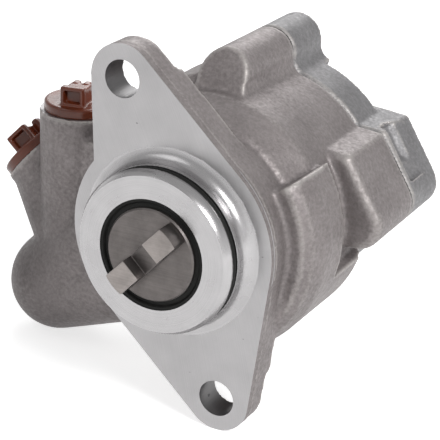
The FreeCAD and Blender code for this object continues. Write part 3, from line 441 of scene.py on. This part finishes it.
def cast_finish(name, dark, pale, worn_and_highlit_tone, pebble, edges=True):
    """Sand-cast aluminium: speckled tone, pebbled skin, rubbed edges with a painted highlight, painted shade
    in the hollows and on the port barrel's lower left, and a painted shadow in the joint's gap.
    """
    finish, tree, shader, place = new_finish(name)
    x, y, z = axes(tree, place)
    blotch = spread(tree, grain(tree, place, 80, 4, 0.6), 0.3, 0.7, 0.1, 0.55)
    skin = grain(tree, place, 800, 5, 0.65)
    tone = sum_of(tree, blotch, spread(tree, skin, 0.35, 0.65, 0.0, 0.45))
    colour = between(tree, tone, dark, pale)
    # Painted shade: darker towards the left and the bottom of the port barrel
    barrel_shade = sum_of(tree, spread(tree, x, *BARREL_SHADE_X), spread(tree, z, *BARREL_SHADE_Z), "MULTIPLY")
    colour = between(tree, sum_of(tree, barrel_shade, 0.6, "MULTIPLY"), colour, shade(dark, 0.5))
    if edges:
        shape = add(tree, "ShaderNodeNewGeometry").outputs["Pointiness"]
        rough_shape = sum_of(tree, shape, spread(tree, skin, 0.3, 0.7, -0.006, 0.006))
        # Painted shade: darker where the surface is hollow
        hollow_shade = spread(tree, rough_shape, 0.49, 0.42, 0.0, 0.6)
        colour = between(tree, hollow_shade, colour, shade(dark, 0.4))
        # Partly edge wear, partly painted highlight: paler along the convex crests
        edge_wear_and_highlight = spread(tree, rough_shape, 0.508, 0.55, 0.0, 0.8)
        colour = between(tree, edge_wear_and_highlight, colour, worn_and_highlit_tone)
    # Painted shadow: a near-black band along the joint of housing and cover, outside the flat joint face
    off_joint = sum_of(tree, sum_of(tree, y, JOINT_Y, "SUBTRACT"), 0.0, "ABSOLUTE")
    outside = spread(tree, from_shaft(tree, place), *JOINT_SHADOW_RADIUS)
    joint_shadow = sum_of(tree, spread(tree, off_joint, *JOINT_SHADOW_HALF_WIDTH), outside, "MULTIPLY")
    colour = between(tree, joint_shadow, colour, JOINT_SHADOW_COLOUR)
    bumps = dents(tree, grain(tree, place, 700, 3, 0.55), pebble)
    fine = dents(tree, grain(tree, place, 2400, 2, 0.5), pebble * 0.25, bumps)
    join(tree, shader, colour, spread(tree, skin, 0.35, 0.65, 0.62, 0.46), fine, 0.55)
    return finish


def milled_finish(name, colour, rough=0.34):
    """Face-milled metal with faint arcs from the cutter, wide clouds and a few nicks."""
    finish, tree, shader, place = new_finish(name)
    offset = add(tree, "ShaderNodeMapping")
    offset.inputs["Location"].default_value = CUTTER_OFFSET
    tree.links.new(place, offset.inputs["Vector"])
    lines = tool_lines(tree, length_of(tree, offset.outputs["Vector"]), 2600)
    cloud = grain(tree, place, 70, 4, 0.6)
    wide = spread(tree, grain(tree, place, 26, 3, 0.55), 0.35, 0.65, 0.0, 0.4)
    near_tone = spread(tree, cloud, 0.35, 0.65, 0.0, 0.5)
    tone = sum_of(tree, near_tone, spread(tree, lines, 0.3, 0.7, 0.0, 0.5))
    tone = sum_of(tree, sum_of(tree, tone, 0.6, "MULTIPLY"), wide)
    metal = between(tree, tone, shade(colour, 0.84), shade(colour, 1.06))
    slanted = stretched(tree, place, (1, 1, 1.8), (0, NICK_SLANT, 0))
    nick = spread(tree, grain(tree, slanted, 300, 2, 0.5), 0.715, 0.75, 0.0, 0.75)
    metal = between(tree, nick, metal, shade(colour, 0.3))
    dull = spread(tree, cloud, 0.3, 0.7, rough + 0.06, rough - 0.04)
    join(tree, shader, metal, dull, dents(tree, lines, 0.006 * MM), 0.85)
    return finish


def turned_finish(name, colour, rough=0.24):
    """Turned metal: fine feed lines round the shaft's axis."""
    finish, tree, shader, place = new_finish(name)
    feed = sum_of(tree, from_shaft(tree, place), axes(tree, place)[1])
    lines = tool_lines(tree, feed, 3200)
    cloud = grain(tree, place, 90, 4, 0.6)
    near_tone = spread(tree, cloud, 0.35, 0.65, 0.0, 0.4)
    tone = sum_of(tree, near_tone, spread(tree, lines, 0.3, 0.7, 0.0, 0.6))
    metal = between(tree, tone, shade(colour, 0.84), colour)
    dull = spread(tree, cloud, 0.3, 0.7, rough + 0.06, rough - 0.03)
    join(tree, shader, metal, dull, dents(tree, lines, 0.008 * MM), 0.95)
    return finish


def steel_finish(name, colour, rough=0.36):
    """Ground or brushed steel with short scratches along the tang and a faint stain."""
    finish, tree, shader, place = new_finish(name)
    along = stretched(tree, place, (60, 900, 2600), (0, TANG_ANGLE, 0))
    scratch = grain(tree, along, 1.0, 3, 0.6)
    stain = grain(tree, place, 160, 5, 0.65)
    near_tone = spread(tree, stain, 0.35, 0.65, 0.0, 0.6)
    tone = sum_of(tree, near_tone, spread(tree, scratch, 0.3, 0.7, 0.0, 0.4))
    metal = between(tree, tone, shade(colour, 0.68), colour)
    dull = spread(tree, stain, 0.3, 0.7, rough + 0.1, rough - 0.06)
    join(tree, shader, metal, dull, dents(tree, scratch, 0.012 * MM), 0.9)
    return finish


def plain_metal(name, colour, rough, depth=0.006 * MM):
    """Small metal part with a light grain."""
    finish, tree, shader, place = new_finish(name)
    skin = grain(tree, place, 900, 4, 0.6)
    metal = between(tree, spread(tree, skin, 0.3, 0.7), shade(colour, 0.8), colour)
    dull = spread(tree, skin, 0.3, 0.7, rough + 0.08, rough - 0.05)
    join(tree, shader, metal, dull, dents(tree, skin, depth), 0.9)
    return finish


def rubber_finish(name, colour):
    """Moulded black rubber with a faint bloom."""
    finish, tree, shader, place = new_finish(name)
    bloom = grain(tree, place, 300, 4, 0.6)
    rubber = between(tree, spread(tree, bloom, 0.4, 0.75), colour, shade(colour, 2.0))
    bumps = dents(tree, grain(tree, place, 2200, 3, 0.5), 0.01 * MM)
    join(tree, shader, rubber, spread(tree, bloom, 0.3, 0.7, 0.5, 0.64), bumps)
    shader.inputs["Specular IOR Level"].default_value = 0.2
    return finish


def plastic_finish(name, colour):
    """Glossy moulded plastic with slight flow marks."""
    finish, tree, shader, place = new_finish(name)
    flow = grain(tree, place, 130, 4, 0.55)
    plastic = between(tree, spread(tree, flow, 0.35, 0.65), shade(colour, 0.78), colour)
    bumps = dents(tree, grain(tree, place, 420, 3, 0.5), 0.03 * MM)
    join(tree, shader, plastic, spread(tree, flow, 0.3, 0.7, 0.18, 0.28), bumps)
    return finish


def merged_copy(node):
    """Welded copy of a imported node's mesh."""
    shape = bmesh.new()
    shape.from_mesh(NODES[node].data)
    bmesh.ops.remove_doubles(shape, verts=shape.verts, dist=MERGE)
    return shape


def plain_copy(node):
    """Welded copy with its flat triangles joined and any old normals left behind."""
    shape = merged_copy(node)
    join_flats(shape)
    return shape


def join_flats(shape):
    """Joins triangles that lie in one plane."""
    bmesh.ops.dissolve_limit(
        shape, angle_limit=FLAT_ANGLE, use_dissolve_boundaries=False, verts=shape.verts, edges=shape.edges)


def take_in(shape, extra):
    """Adds a second shape to the first."""
    mesh = bpy.data.meshes.new("extra_work")
    extra.to_mesh(mesh)
    extra.free()
    shape.from_mesh(mesh)
    bpy.data.meshes.remove(mesh)


def cut_off(shape, place, normal):
    """Removes what lies on the normal's side of a plane and closes the opening."""
    geometry = shape.verts[:] + shape.edges[:] + shape.faces[:]
    cut = bmesh.ops.bisect_plane(
        shape, geom=geometry, dist=MERGE, plane_co=place, plane_no=normal, clear_outer=True)
    rim = [item for item in cut["geom_cut"] if isinstance(item, bmesh.types.BMEdge)]
    bmesh.ops.triangle_fill(shape, edges=rim, use_beauty=True, use_dissolve=False, normal=normal)


def even_out(shape, passes):
    """Smooths the points of a shape."""
    for _ in range(passes):
        bmesh.ops.smooth_vert(
            shape, verts=shape.verts, factor=0.5, use_axis_x=True, use_axis_y=True, use_axis_z=True)


def soften(shape, grid, passes):
    """Rebuilds a closed shape on an even grid and rounds it."""
    mesh = bpy.data.meshes.new("soft_work")
    shape.to_mesh(mesh)
    shape.free()
    worker = bpy.data.objects.new("soft_work", mesh)
    bpy.context.scene.collection.objects.link(worker)
    remesh = worker.modifiers.new("grid", "REMESH")
    remesh.mode = "VOXEL"
    remesh.voxel_size = grid
    remesh.use_smooth_shade = True
    graph = bpy.context.evaluated_depsgraph_get()
    result = bpy.data.meshes.new_from_object(worker.evaluated_get(graph), depsgraph=graph)
    soft = bmesh.new()
    soft.from_mesh(result)
    bpy.data.objects.remove(worker)
    bpy.data.meshes.remove(mesh)
    bpy.data.meshes.remove(result)
    even_out(soft, passes)
    return soft


def ripple_skin(shape, height):
    """Uneven cast skin, a little under the solid part's surface."""
    shape.normal_update()
    for vert in shape.verts:
        broad = noise.noise(vert.co * SKIN_WAVES)
        fine = noise.noise(vert.co * SKIN_WAVES * FINE_WAVES)
        vert.co += vert.normal * (height * (broad + 0.5 * fine) - height * SKIN_SINK)


def raise_crests(shape, passes, share, limit):
    """Lifts the crests and deepens the hollows that smoothing would take away."""
    rest = [vert.co.copy() for vert in shape.verts]
    even_out(shape, passes)
    for vert, place in zip(shape.verts, rest):
        lift = (place - vert.co) * share
        if lift.length > limit:
            lift *= limit / lift.length
        vert.co = place + lift


def groove_joint(shape, depth):
    """Draws the cast rim in where two castings meet, so that their joint shows."""
    shape.normal_update()
    moves = []
    for vert in shape.verts:
        away = abs(vert.co.y - JOINT_Y) / GROOVE_HALF_WIDTH
        if away < 1 and math.hypot(vert.co.x, vert.co.z) > JOINT_FLAT_R:
            inward = Vector((-vert.normal.x, 0, -vert.normal.z))
            if inward.length > 0.3:
                moves.append((vert, inward.normalized() * depth * (1 - away)))
    for vert, move in moves:
        vert.co += move


def carve_side(shape):
    """Sinks the pocket in the cover's outer side, between its joint rim and its rear rim."""
    shape.normal_update()
    moves = []
    for vert in shape.verts:
        x, y, z = vert.co
        if x > POCKET_X and vert.normal.x > 0.5:
            share = ramp(z, POCKET_LOW_Z, POCKET_EDGE) * ramp(-z, -POCKET_HIGH_Z, POCKET_EDGE)
            share *= ramp(y, POCKET_FRONT_Y, POCKET_EDGE) * ramp(-y, -POCKET_REAR_Y, POCKET_EDGE)
            moves.append((vert, vert.normal * (-POCKET_D * share)))
    for vert, move in moves:
        vert.co += move


def ramp(value, start, width):
    """Zero below the start, one a width above it."""
    return min(1.0, max(0.0, (value - start) / width))


def true_rod(shape, place, direction, radius, low, high, reach):
    """Makes the wall of a drilled hole round again. Returns the points that it moved."""
    moved = set()
    for vert in shape.verts:
        offset = vert.co - place
        along = offset.dot(direction)
        if low <= along <= high:
            out = offset - direction * along
            if abs(out.length - radius) < reach:
                vert.co = place + direction * along + out.normalized() * radius
                moved.add(vert)
    return moved


def true_disc(shape, place, normal, radius, reach):
    """Makes a machined round face flat again."""
    for vert in shape.verts:
        height = (vert.co - place).dot(normal)
        if abs(height) < reach and vert.normal.dot(normal) > 0.75:
            if near_axis(vert.co, place, normal, radius):
                vert.co -= normal * height


def near_axis(point, place, direction, radius):
    """True where a point lies within a radius of a line."""
    offset = point - place
    return (offset - direction * offset.dot(direction)).length < radius


def near_bolt(point, margin):
    """True where a point lies in a bolt hole or within a margin of its wall."""
    return any(near_axis(point, hole, BACKWARD, BOLT_HOLE_R + margin) for hole in BOLT_HOLES)


def on_disc(point, place, direction, radius):
    """True where a point lies on a machined round face."""
    height = (point - place).dot(direction)
    return abs(height) < FACE_TOLERANCE and near_axis(point, place, direction, radius)


def thicken_flange(shape):
    """Moves the back of the plate and of its lugs to their cast thickness."""
    for vert in shape.verts:
        if math.hypot(vert.co.x, vert.co.z) > DRUM_CORE_R:
            if abs(vert.co.y - FLANGE_SOLID_T) < SAME_PLACE:
                vert.co.y = FLANGE_T
            elif abs(vert.co.y - LUG_SOLID_T) < SAME_PLACE:
                vert.co.y = LUG_T


def add_pad(shape):
    """Thicker upper left side of the drum, with sloping ends, spun round the shaft."""
    low = PAD_FRONT_Y - PAD_SLOPE
    high = PAD_REAR_Y + PAD_SLOPE
    edge = PAD_R - PAD_SLOPE
    profile = (
        (DRUM_CORE_R, low), (edge, low), (PAD_R, PAD_FRONT_Y),
        (PAD_R, PAD_REAR_Y), (edge, high), (DRUM_CORE_R, high),
    )
    pad = bmesh.new()
    rim = [pad.verts.new(ring_place(radius, PAD_START, y)) for radius, y in profile]
    side = pad.faces.new(rim)
    bmesh.ops.spin(
        pad, geom=[*rim, *side.edges, side], cent=(0, 0, 0), axis=FORWARD,
        angle=PAD_SWEEP, steps=PAD_STEPS, use_duplicate=False)
    bmesh.ops.recalc_face_normals(pad, faces=pad.faces)
    take_in(shape, pad)


def add_block(shape, low, high, place, round_r):
    """Box between two corners, with rounded edges, put in place."""
    middle = (Vector(low) + Vector(high)) / 2
    size = Vector(high) - Vector(low)
    box = bmesh.new()
    bmesh.ops.create_cube(box, size=1.0, matrix=Matrix.Translation(middle) @ Matrix.Diagonal((*size, 1.0)))
    bmesh.ops.bevel(
        box, geom=box.edges[:], offset=round_r, segments=3, profile=0.5,
        affect="EDGES", clamp_overlap=True, material=-1)
    bmesh.ops.transform(box, matrix=place, verts=box.verts)
    take_in(shape, box)


def make_piece(shape, name, body, finishes, sharp=PLAIN_CREASE, flat=None):
    """Turns a bmesh into a finished piece on a body. The test flat picks the faces that stay flat."""
    for face in shape.faces:
        face.smooth = not (flat and flat(face))
    for edge in shape.edges:
        edge.smooth = not (len(edge.link_faces) == 2 and edge.calc_face_angle(0.0) > sharp)
    mesh = bpy.data.meshes.new(name)
    shape.to_mesh(mesh)
    shape.free()
    piece = bpy.data.objects.new(name, mesh)
    bpy.context.scene.collection.objects.link(piece)
    for finish in finishes:
        mesh.materials.append(finish)
    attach(piece, body)
    return piece


def break_edges(shape, width, chosen):
    """Bevels the sharp edges that the test picks by their middle."""
    shape.normal_update()
    sharp = [e for e in shape.edges if len(e.link_faces) == 2 and e.calc_face_angle(0.0) > BREAK_ANGLE]
    edges = [e for e in sharp if chosen((e.verts[0].co + e.verts[1].co) / 2)]
    bmesh.ops.bevel(
        shape, geom=edges, offset=width, segments=2, profile=0.5,
        affect="EDGES", clamp_overlap=True, material=-1)


def paint(node, finish):
    """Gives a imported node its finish."""
    materials = NODES[node].data.materials
    materials.clear()
    materials.append(finish)


class PUMP_OT_cast_housing(bpy.types.Operator):
    """Softened housing casting and its crisp milled and turned front"""
    bl_idname = "pump.cast_housing"
    bl_label = "Housing"

    def execute(self, context):
        sizes = context.scene.pump_casting
        metal = context.scene.pump_machined
        tones = (tuple(sizes.dark), tuple(sizes.pale), tuple(sizes.worn_and_highlit_tone), sizes.pebble)
        skin = cast_finish("cast_housing_metal", *tones)
        milled = milled_finish("milled_aluminium", tuple(metal.milled))
        turned = turned_finish("turned_aluminium", tuple(metal.turned))
        rim = cast_finish("flange_rim_metal", *tones, edges=False)
        # Hole walls: the milled finish, rougher and at 45% of its tone; the darker tone is painted shade
        # inside the holes
        drilled = milled_finish("drilled_aluminium_painted_shade", shade(metal.milled, 0.45), 0.42)
        self.casting(sizes, [skin, milled, drilled])
        self.front(metal, [rim, milled, turned, drilled])
        return {"FINISHED"}

    def casting(self, sizes, finishes):
        """Body of the housing behind the crisp front layer."""
        shape = merged_copy("pump_housing")
        thicken_flange(shape)
        cut_off(shape, Vector((0, CASTING_FRONT_Y, 0)), FORWARD)
        add_pad(shape)
        add_block(shape, GALLERY_LOW, GALLERY_HIGH, Matrix.Identity(4), MM)
        shape = soften(shape, sizes.housing_grid, sizes.soft_passes)
        raise_crests(shape, HOUSING_CREST_PASSES, sizes.crest, HOUSING_CREST_LIMIT)
        ripple_skin(shape, sizes.ripple)
        groove_joint(shape, HOUSING_GROOVE_D)
        drilled = self.true_up(shape, sizes.housing_grid * TRUE_REACH)
        shape.normal_update()
        for face in shape.faces:
            face.material_index = self.casting_finish(face, drilled)
        piece = make_piece(shape, "housing_casting", "casing", finishes, CAST_CREASE)
        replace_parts(piece, "pump_housing")

    def true_up(self, shape, reach):
        """Puts the machined holes and faces back in shape. Returns the points on the holes' walls."""
        drilled = set()
        for hole in BOLT_HOLES:
            drilled |= true_rod(shape, hole, BACKWARD, BOLT_HOLE_R, 0, FLANGE_T, reach)
        drilled |= true_rod(shape, Vector(), BACKWARD, CARTRIDGE_R, CARTRIDGE_FLOOR_Y, JOINT_Y, reach)
        drilled |= true_rod(shape, PORT_TOP, UPWARD, PORT_BORE_R, -PORT_BORE_D, 0, reach)
        drilled |= true_rod(shape, PORT_TOP, UPWARD, VALVE_R, -VALVE_D, -PORT_BORE_D, reach)
        drilled |= true_rod(shape, SUCTION_FACE, SUCTION_OUT, SUCTION_BORE_R, -SUCTION_BORE_D, 0, reach)
        shape.normal_update()
        for place, direction, radius in MILLED_DISCS:
            true_disc(shape, place, direction, radius, reach)
        for hole in BOLT_HOLES:
            true_disc(shape, hole + BACKWARD * LUG_T, BACKWARD, SPOT_FACE_R, reach)
        return drilled

    def casting_finish(self, face, drilled):
        """Cast skin 0, milled 1 or drilled 2 with painted shade, by where a face lies."""
        centre = face.calc_center_median()
        walls = all(vert in drilled for vert in face.verts)
        if walls and near_bolt(centre, MM):
            return 2
        lug_back = abs(centre.y - LUG_T) < FACE_TOLERANCE and face.normal.y > 0.9
        milled = any(on_disc(centre, *disc) for disc in MILLED_DISCS)
        return int(walls or lug_back or milled)

    def front(self, metal, finishes):
        """Flange face and spigot, as one crisp layer."""
        shape = merged_copy("pump_housing")
        thicken_flange(shape)
        cut_off(shape, Vector((0, metal.front_depth, 0)), BACKWARD)
        join_flats(shape)
        limit = metal.front_depth - 0.4 * MM
        break_edges(shape, metal.edge_break, chosen=lambda p: p.y < limit)
        near_face = FACE_TOLERANCE / 2
        for vert in shape.verts:
            if abs(vert.co.y) < near_face and math.hypot(vert.co.x, vert.co.z) > TURNED_FACE_R:
                vert.co.y = 0.0
        shape.normal_update()
        for face in shape.faces:
            face.material_index = self.front_finish(face, near_face)
        piece = make_piece(
            shape, "housing_front", "casing", finishes,
            flat=lambda f: abs(f.normal.y) > 0.999)
        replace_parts(piece, "pump_housing")

    def front_finish(self, face, near_face):
        """Cast rim 0, milled 1, turned 2 or drilled 3 with painted shade, by where a face lies."""
        centre = face.calc_center_median()
        radius = max(math.hypot(vert.co.x, vert.co.z) for vert in face.verts)
        if radius < TURNED_FACE_R + 2 * FACE_TOLERANCE and centre.y < near_face:
            return 2
        if abs(face.normal.y) < 0.3 and near_bolt(centre, FACE_TOLERANCE):
            return 3
        if face.normal.y < -0.25:
            return 1
        return 2 if radius < SPIGOT_R - 2 * MM else 0


class PUMP_OT_cast_cover(bpy.types.Operator):
    """Softened rear cover with its machined joint face and screw seats"""
    bl_idname = "pump.cast_cover"
    bl_label = "Cover"

    def execute(self, context):
        sizes = context.scene.pump_casting
        tones = (tuple(sizes.cover_dark), tuple(sizes.cover_pale), tuple(sizes.worn_and_highlit_tone), sizes.pebble)
        skin = cast_finish("cast_cover_metal", *tones)
        milled = milled_finish("milled_cover", tuple(context.scene.pump_machined.milled))
        shape = soften(merged_copy("rear_cover"), sizes.cover_grid, sizes.soft_passes)
        carve_side(shape)
        raise_crests(shape, COVER_CREST_PASSES, sizes.crest, COVER_CREST_LIMIT)
        ripple_skin(shape, sizes.ripple)
        groove_joint(shape, COVER_GROOVE_D)
        reach = sizes.cover_grid * TRUE_REACH
        drilled = set()
        for hole in LOBE_HOLES:
            drilled |= true_rod(shape, hole, BACKWARD, SCREW_BORE_R, SCREW_SEAT_Y, COVER_LOBE_Y, reach)
        shape.normal_update()
        true_disc(shape, JOINT_CENTRE, FORWARD, JOINT_FLAT_R, reach)
        shape.normal_update()
        for face in shape.faces:
            centre = face.calc_center_median()
            walls = all(vert in drilled for vert in face.verts)
            joint = on_disc(centre, JOINT_CENTRE, FORWARD, JOINT_FLAT_R)
            inner = centre.y < JOINT_Y - MM
            face.material_index = int(walls or joint or inner)
        piece = make_piece(shape, "cover_casting", "casing", [skin, milled], CAST_CREASE)
        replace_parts(piece, "rear_cover")
        return {"FINISHED"}


class PUMP_OT_port_plugs(bpy.types.Operator):
    """Glossy transport plugs with soft moulded edges"""
    bl_idname = "pump.port_plugs"
    bl_label = "Port plugs"

    def execute(self, context):
        sizes = context.scene.pump_plastic
        finish = plastic_finish("plug_plastic", tuple(sizes.plug))
        upright = Matrix.Translation(PORT_TOP) @ Matrix.Rotation(PRESSURE_PLUG_TURN, 4, "Z")
        leaning = Matrix.Translation(SUCTION_FACE) @ Matrix.Rotation(-SUCTION_TILT, 4, "Y")
        leaning = leaning @ Matrix.Rotation(SUCTION_PLUG_TURN, 4, "Z")
        plugs = (("pressure_port_plug", upright, PRESSURE_GRIP), ("suction_port_plug", leaning, SUCTION_GRIP))
        for node, place, grip in plugs:
            shape = merged_copy(node)
            top = place @ Vector((0, 0, PLUG_DISC_T - 2 * SAME_PLACE))
            cut_off(shape, top, place.to_3x3() @ UPWARD)
            self.add_grip(shape, place, *grip)
            shape = soften(shape, sizes.plug_grid, 2)
            piece = make_piece(shape, node + "_soft", "casing", [finish], PLUG_CREASE)
            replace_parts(piece, node)
        return {"FINISHED"}

    def add_grip(self, shape, place, pitch, post_h, web_h):
        """Finger loop at the disc's front, two posts behind it and the web between them."""
        foot = PLUG_DISC_T - GRIP_SUNK
        top = PLUG_DISC_T + LOOP_H
        half = LOOP_HALF
        sill = PLUG_DISC_T + 0.9 * MM
        for side in (-1, 1):
            inner, outer = sorted((side * half, side * (half - LOOP_WALL)))
            middle = side * pitch / 2
            post_low = (middle - POST_HALF, -2.4 * MM, foot)
            post_high = (middle + POST_HALF, 1.6 * MM, PLUG_DISC_T + post_h)
            add_block(shape, (inner, LOOP_FRONT, foot), (outer, LOOP_BACK, top), place, 0.6 * MM)
            add_block(shape, post_low, post_high, place, 0.8 * MM)
        add_block(shape, (-half, LOOP_FRONT, top - LOOP_WALL), (half, LOOP_BACK, top), place, 0.6 * MM)
        add_block(shape, (-half, LOOP_FRONT, foot), (half, LOOP_BACK, sill), place, 0.4 * MM)
        tail_low = (-half + 0.4 * MM, LOOP_BACK - 0.5 * MM, foot)
        tail_high = (half - 0.4 * MM, 0.0, top - 0.9 * MM)
        add_block(shape, tail_low, tail_high, place, 0.6 * MM)
        web_low = (-pitch / 2, -2.0 * MM, foot)
        web_high = (pitch / 2, 1.2 * MM, PLUG_DISC_T + web_h)
        add_block(shape, web_low, web_high, place, 0.4 * MM)


class PUMP_OT_drive_end(bpy.types.Operator):
    """Steel shaft with broken edges, lip seal and spigot ring"""
    bl_idname = "pump.drive_end"
    bl_label = "Drive end"

    def execute(self, context):
        metal = context.scene.pump_machined
        plastic = context.scene.pump_plastic
        steel = steel_finish("ground_steel", tuple(metal.steel))
        # Paler steel on the tang's faces that point forward
        forward_tang_steel = steel_finish("paler_forward_steel", tuple(metal.tang))
        shape = plain_copy("drive_shaft")
        break_edges(shape, 0.3 * MM, chosen=lambda p: p.y < COLLAR_Y - 1.2 * MM)
        shape.normal_update()
        for face in shape.faces:
            on_tang = face.calc_center_median().y < COLLAR_Y - 3.5 * MM
            face.material_index = int(on_tang and face.normal.y < -0.5)
        piece = make_piece(
            shape, "shaft_with_tang", "shaft", [steel, forward_tang_steel],
            flat=lambda f: abs(f.normal.y) > 0.9999)
        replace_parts(piece, "drive_shaft")
        rubber = rubber_finish("black_rubber", tuple(plastic.rubber))
        for node in RUBBER_PARTS:
            paint(node, rubber)
        return {"FINISHED"}


class PUMP_OT_inner_parts(bpy.types.Operator):
    """Finishes of the cartridge, the flow valve, the bushes and the screws"""
    bl_idname = "pump.inner_parts"
    bl_label = "Inner parts"

    def execute(self, context):
        hard = steel_finish("hardened_steel", (0.36, 0.36, 0.37), 0.3)
        spring = plain_metal("spring_steel", (0.22, 0.21, 0.21), 0.34)
        bronze = turned_finish("bush_bronze", (0.52, 0.33, 0.14), 0.32)
        zinc = plain_metal("zinc_screw", (0.50, 0.50, 0.48), 0.3, 0.012 * MM)
        for node in NODES:
            if node.startswith("vane_") or node in HARD_PARTS:
                paint(node, hard)
            elif node in SPRING_PARTS:
                paint(node, spring)
            elif node in BRONZE_PARTS:
                paint(node, bronze)
        shape = plain_copy("cover_screws")
        break_edges(shape, 0.25 * MM, chosen=lambda p: p.y > SCREW_SEAT_Y + MM)
        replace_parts(make_piece(shape, "socket_screws", "casing", [zinc]), "cover_screws")
        return {"FINISHED"}


class PUMP_OT_stage(bpy.types.Operator):
    """Pale floor, soft lamps and the camera"""
    bl_idname = "pump.stage"
    bl_label = "Stage"

    def execute(self, context):
        sizes = context.scene.pump_stage
        self.floor(tuple(sizes.floor))
        self.room(sizes.room)
        self.lamp("key_lamp", (0.8, -0.4, 0.68), 0.35, sizes.key_power)
        self.lamp("fill_lamp", (-0.55, -0.55, 0.95), 0.6, sizes.fill_power)
        self.lamp("rear_lamp", (-0.35, 0.95, 0.7), 0.7, sizes.rear_power)
        self.camera()
        scene = context.scene
        scene.view_settings.view_transform = "Standard"
        return {"FINISHED"}

    def seen(self, tree):
        """One where a ray comes from the camera, a reflection or glass."""
        path = add(tree, "ShaderNodeLightPath")
        seen = sum_of(tree, path.outputs["Is Camera Ray"], path.outputs["Is Glossy Ray"], "MAXIMUM")
        return sum_of(tree, seen, path.outputs["Is Transmission Ray"], "MAXIMUM")

    def floor(self, colour):
        """Large pale floor that shows white to the camera and keeps the shadow."""
        shape = bmesh.new()
        level = Matrix.Translation((0, 0, FLOOR_Z))
        bmesh.ops.create_grid(shape, x_segments=4, y_segments=4, size=6.0, matrix=level)
        mesh = bpy.data.meshes.new("floor")
        shape.to_mesh(mesh)
        shape.free()
        piece = bpy.data.objects.new("floor", mesh)
        bpy.context.scene.collection.objects.link(piece)
        finish, tree, shader, place = new_finish("pale_floor")
        patch = spread(tree, grain(tree, place, 3, 3, 0.5), 0.3, 0.7)
        seen = self.seen(tree)
        pale = between(tree, patch, shade(colour, 0.98), colour)
        bounce = (FLOOR_BOUNCE, FLOOR_BOUNCE, FLOOR_BOUNCE)
        tree.links.new(between(tree, seen, bounce, pale), shader.inputs["Base Color"])
        shader.inputs["Emission Color"].default_value = (1.0, 1.0, 1.0, 1.0)
        tree.links.new(sum_of(tree, seen, FLOOR_GLOW, "MULTIPLY"), shader.inputs["Emission Strength"])
        shader.inputs["Roughness"].default_value = 0.9
        shader.inputs["Specular IOR Level"].default_value = 0.1
        mesh.materials.append(finish)

    def room(self, level):
        """Even light from all round, seen as white by the camera and in reflections."""
        world = bpy.data.worlds.new("studio_room")
        world.use_nodes = True
        tree = world.node_tree
        back = tree.nodes["Background"]
        path = add(tree, "ShaderNodeLightPath")
        height = axes(tree, add(tree, "ShaderNodeTexCoord").outputs["Generated"])[2]
        mirrored = sum_of(tree, path.outputs["Is Glossy Ray"], path.outputs["Is Transmission Ray"], "MAXIMUM")
        shown = spread(tree, height, 0.12, 0.42, 1.0, CEILING)
        shown = sum_of(tree, shown, mirrored, "MULTIPLY")
        other = sum_of(tree, 1.0, mirrored, "SUBTRACT")
        plain = spread(tree, path.outputs["Is Camera Ray"], 0.0, 1.0, level, 1.0)
        tree.links.new(sum_of(tree, shown, sum_of(tree, other, plain, "MULTIPLY")), back.inputs["Strength"])
        back.inputs["Color"].default_value = (1.0, 1.0, 1.0, 1.0)
        bpy.context.scene.world = world

    def lamp(self, name, place, size, power):
        """Square soft lamp that looks at the pump."""
        data = bpy.data.lights.new(name, "AREA")
        data.size = size
        data.energy = power
        lamp = bpy.data.objects.new(name, data)
        lamp.location = place
        toward = LAMP_AIM - Vector(place)
        lamp.rotation_euler = toward.to_track_quat("-Z", "Y").to_euler()
        bpy.context.scene.collection.objects.link(lamp)

    def camera(self):
        """Camera at the photograph's angle."""
        data = bpy.data.cameras.new("camera")
        data.sensor_width = SENSOR_MM
        data.lens = FOCAL_PX / IMAGE_PX * SENSOR_MM
        data.clip_start = 0.01
        camera = bpy.data.objects.new("camera", data)
        turn = Matrix((CAMERA_RIGHT, -CAMERA_DOWN, -CAMERA_AHEAD)).transposed().to_4x4()
        camera.matrix_world = Matrix.Translation(CAMERA_PLACE) @ turn
        bpy.context.scene.collection.objects.link(camera)
        bpy.context.scene.camera = camera


class PUMP_PT_panel(bpy.types.Panel):
    """Lists the pump's pieces"""
    bl_idname = "PUMP_PT_panel"
    bl_label = "Power steering pump"
    bl_space_type = "VIEW_3D"
    bl_region_type = "UI"
    bl_category = "Pump"

    def draw(self, context):
        layout = self.layout
        for operator in OPERATORS:
            layout.operator(operator.bl_idname)
        for group in ("pump_casting", "pump_machined", "pump_plastic", "pump_stage"):
            holder = getattr(context.scene, group)
            box = layout.box()
            for name in holder.__annotations__:
                box.prop(holder, name)


OPERATORS = (
    PUMP_OT_cast_housing,
    PUMP_OT_cast_cover,
    PUMP_OT_port_plugs,
    PUMP_OT_drive_end,
    PUMP_OT_inner_parts,
    PUMP_OT_stage,
)
GROUPS = {
    "pump_casting": CastingSizes,
    "pump_machined": MachinedSizes,
    "pump_plastic": PlasticSizes,
    "pump_stage": StageSizes,
}


def register():
    for group in GROUPS.values():
        bpy.utils.register_class(group)
    for name, group in GROUPS.items():
        setattr(bpy.types.Scene, name, bpy.props.PointerProperty(type=group))
    for operator in OPERATORS:
        bpy.utils.register_class(operator)
    bpy.utils.register_class(PUMP_PT_panel)


def unregister():
    bpy.utils.unregister_class(PUMP_PT_panel)
    for operator in reversed(OPERATORS):
        bpy.utils.unregister_class(operator)
    for name in GROUPS:
        delattr(bpy.types.Scene, name)
    for group in GROUPS.values():
        bpy.utils.unregister_class(group)


def main():
    """Makes every piece."""
    register()
    for step in ("cast_housing", "cast_cover", "port_plugs", "drive_end", "inner_parts", "stage"):
        getattr(bpy.ops.pump, step)()


if __name__ == "__main__":
    main()
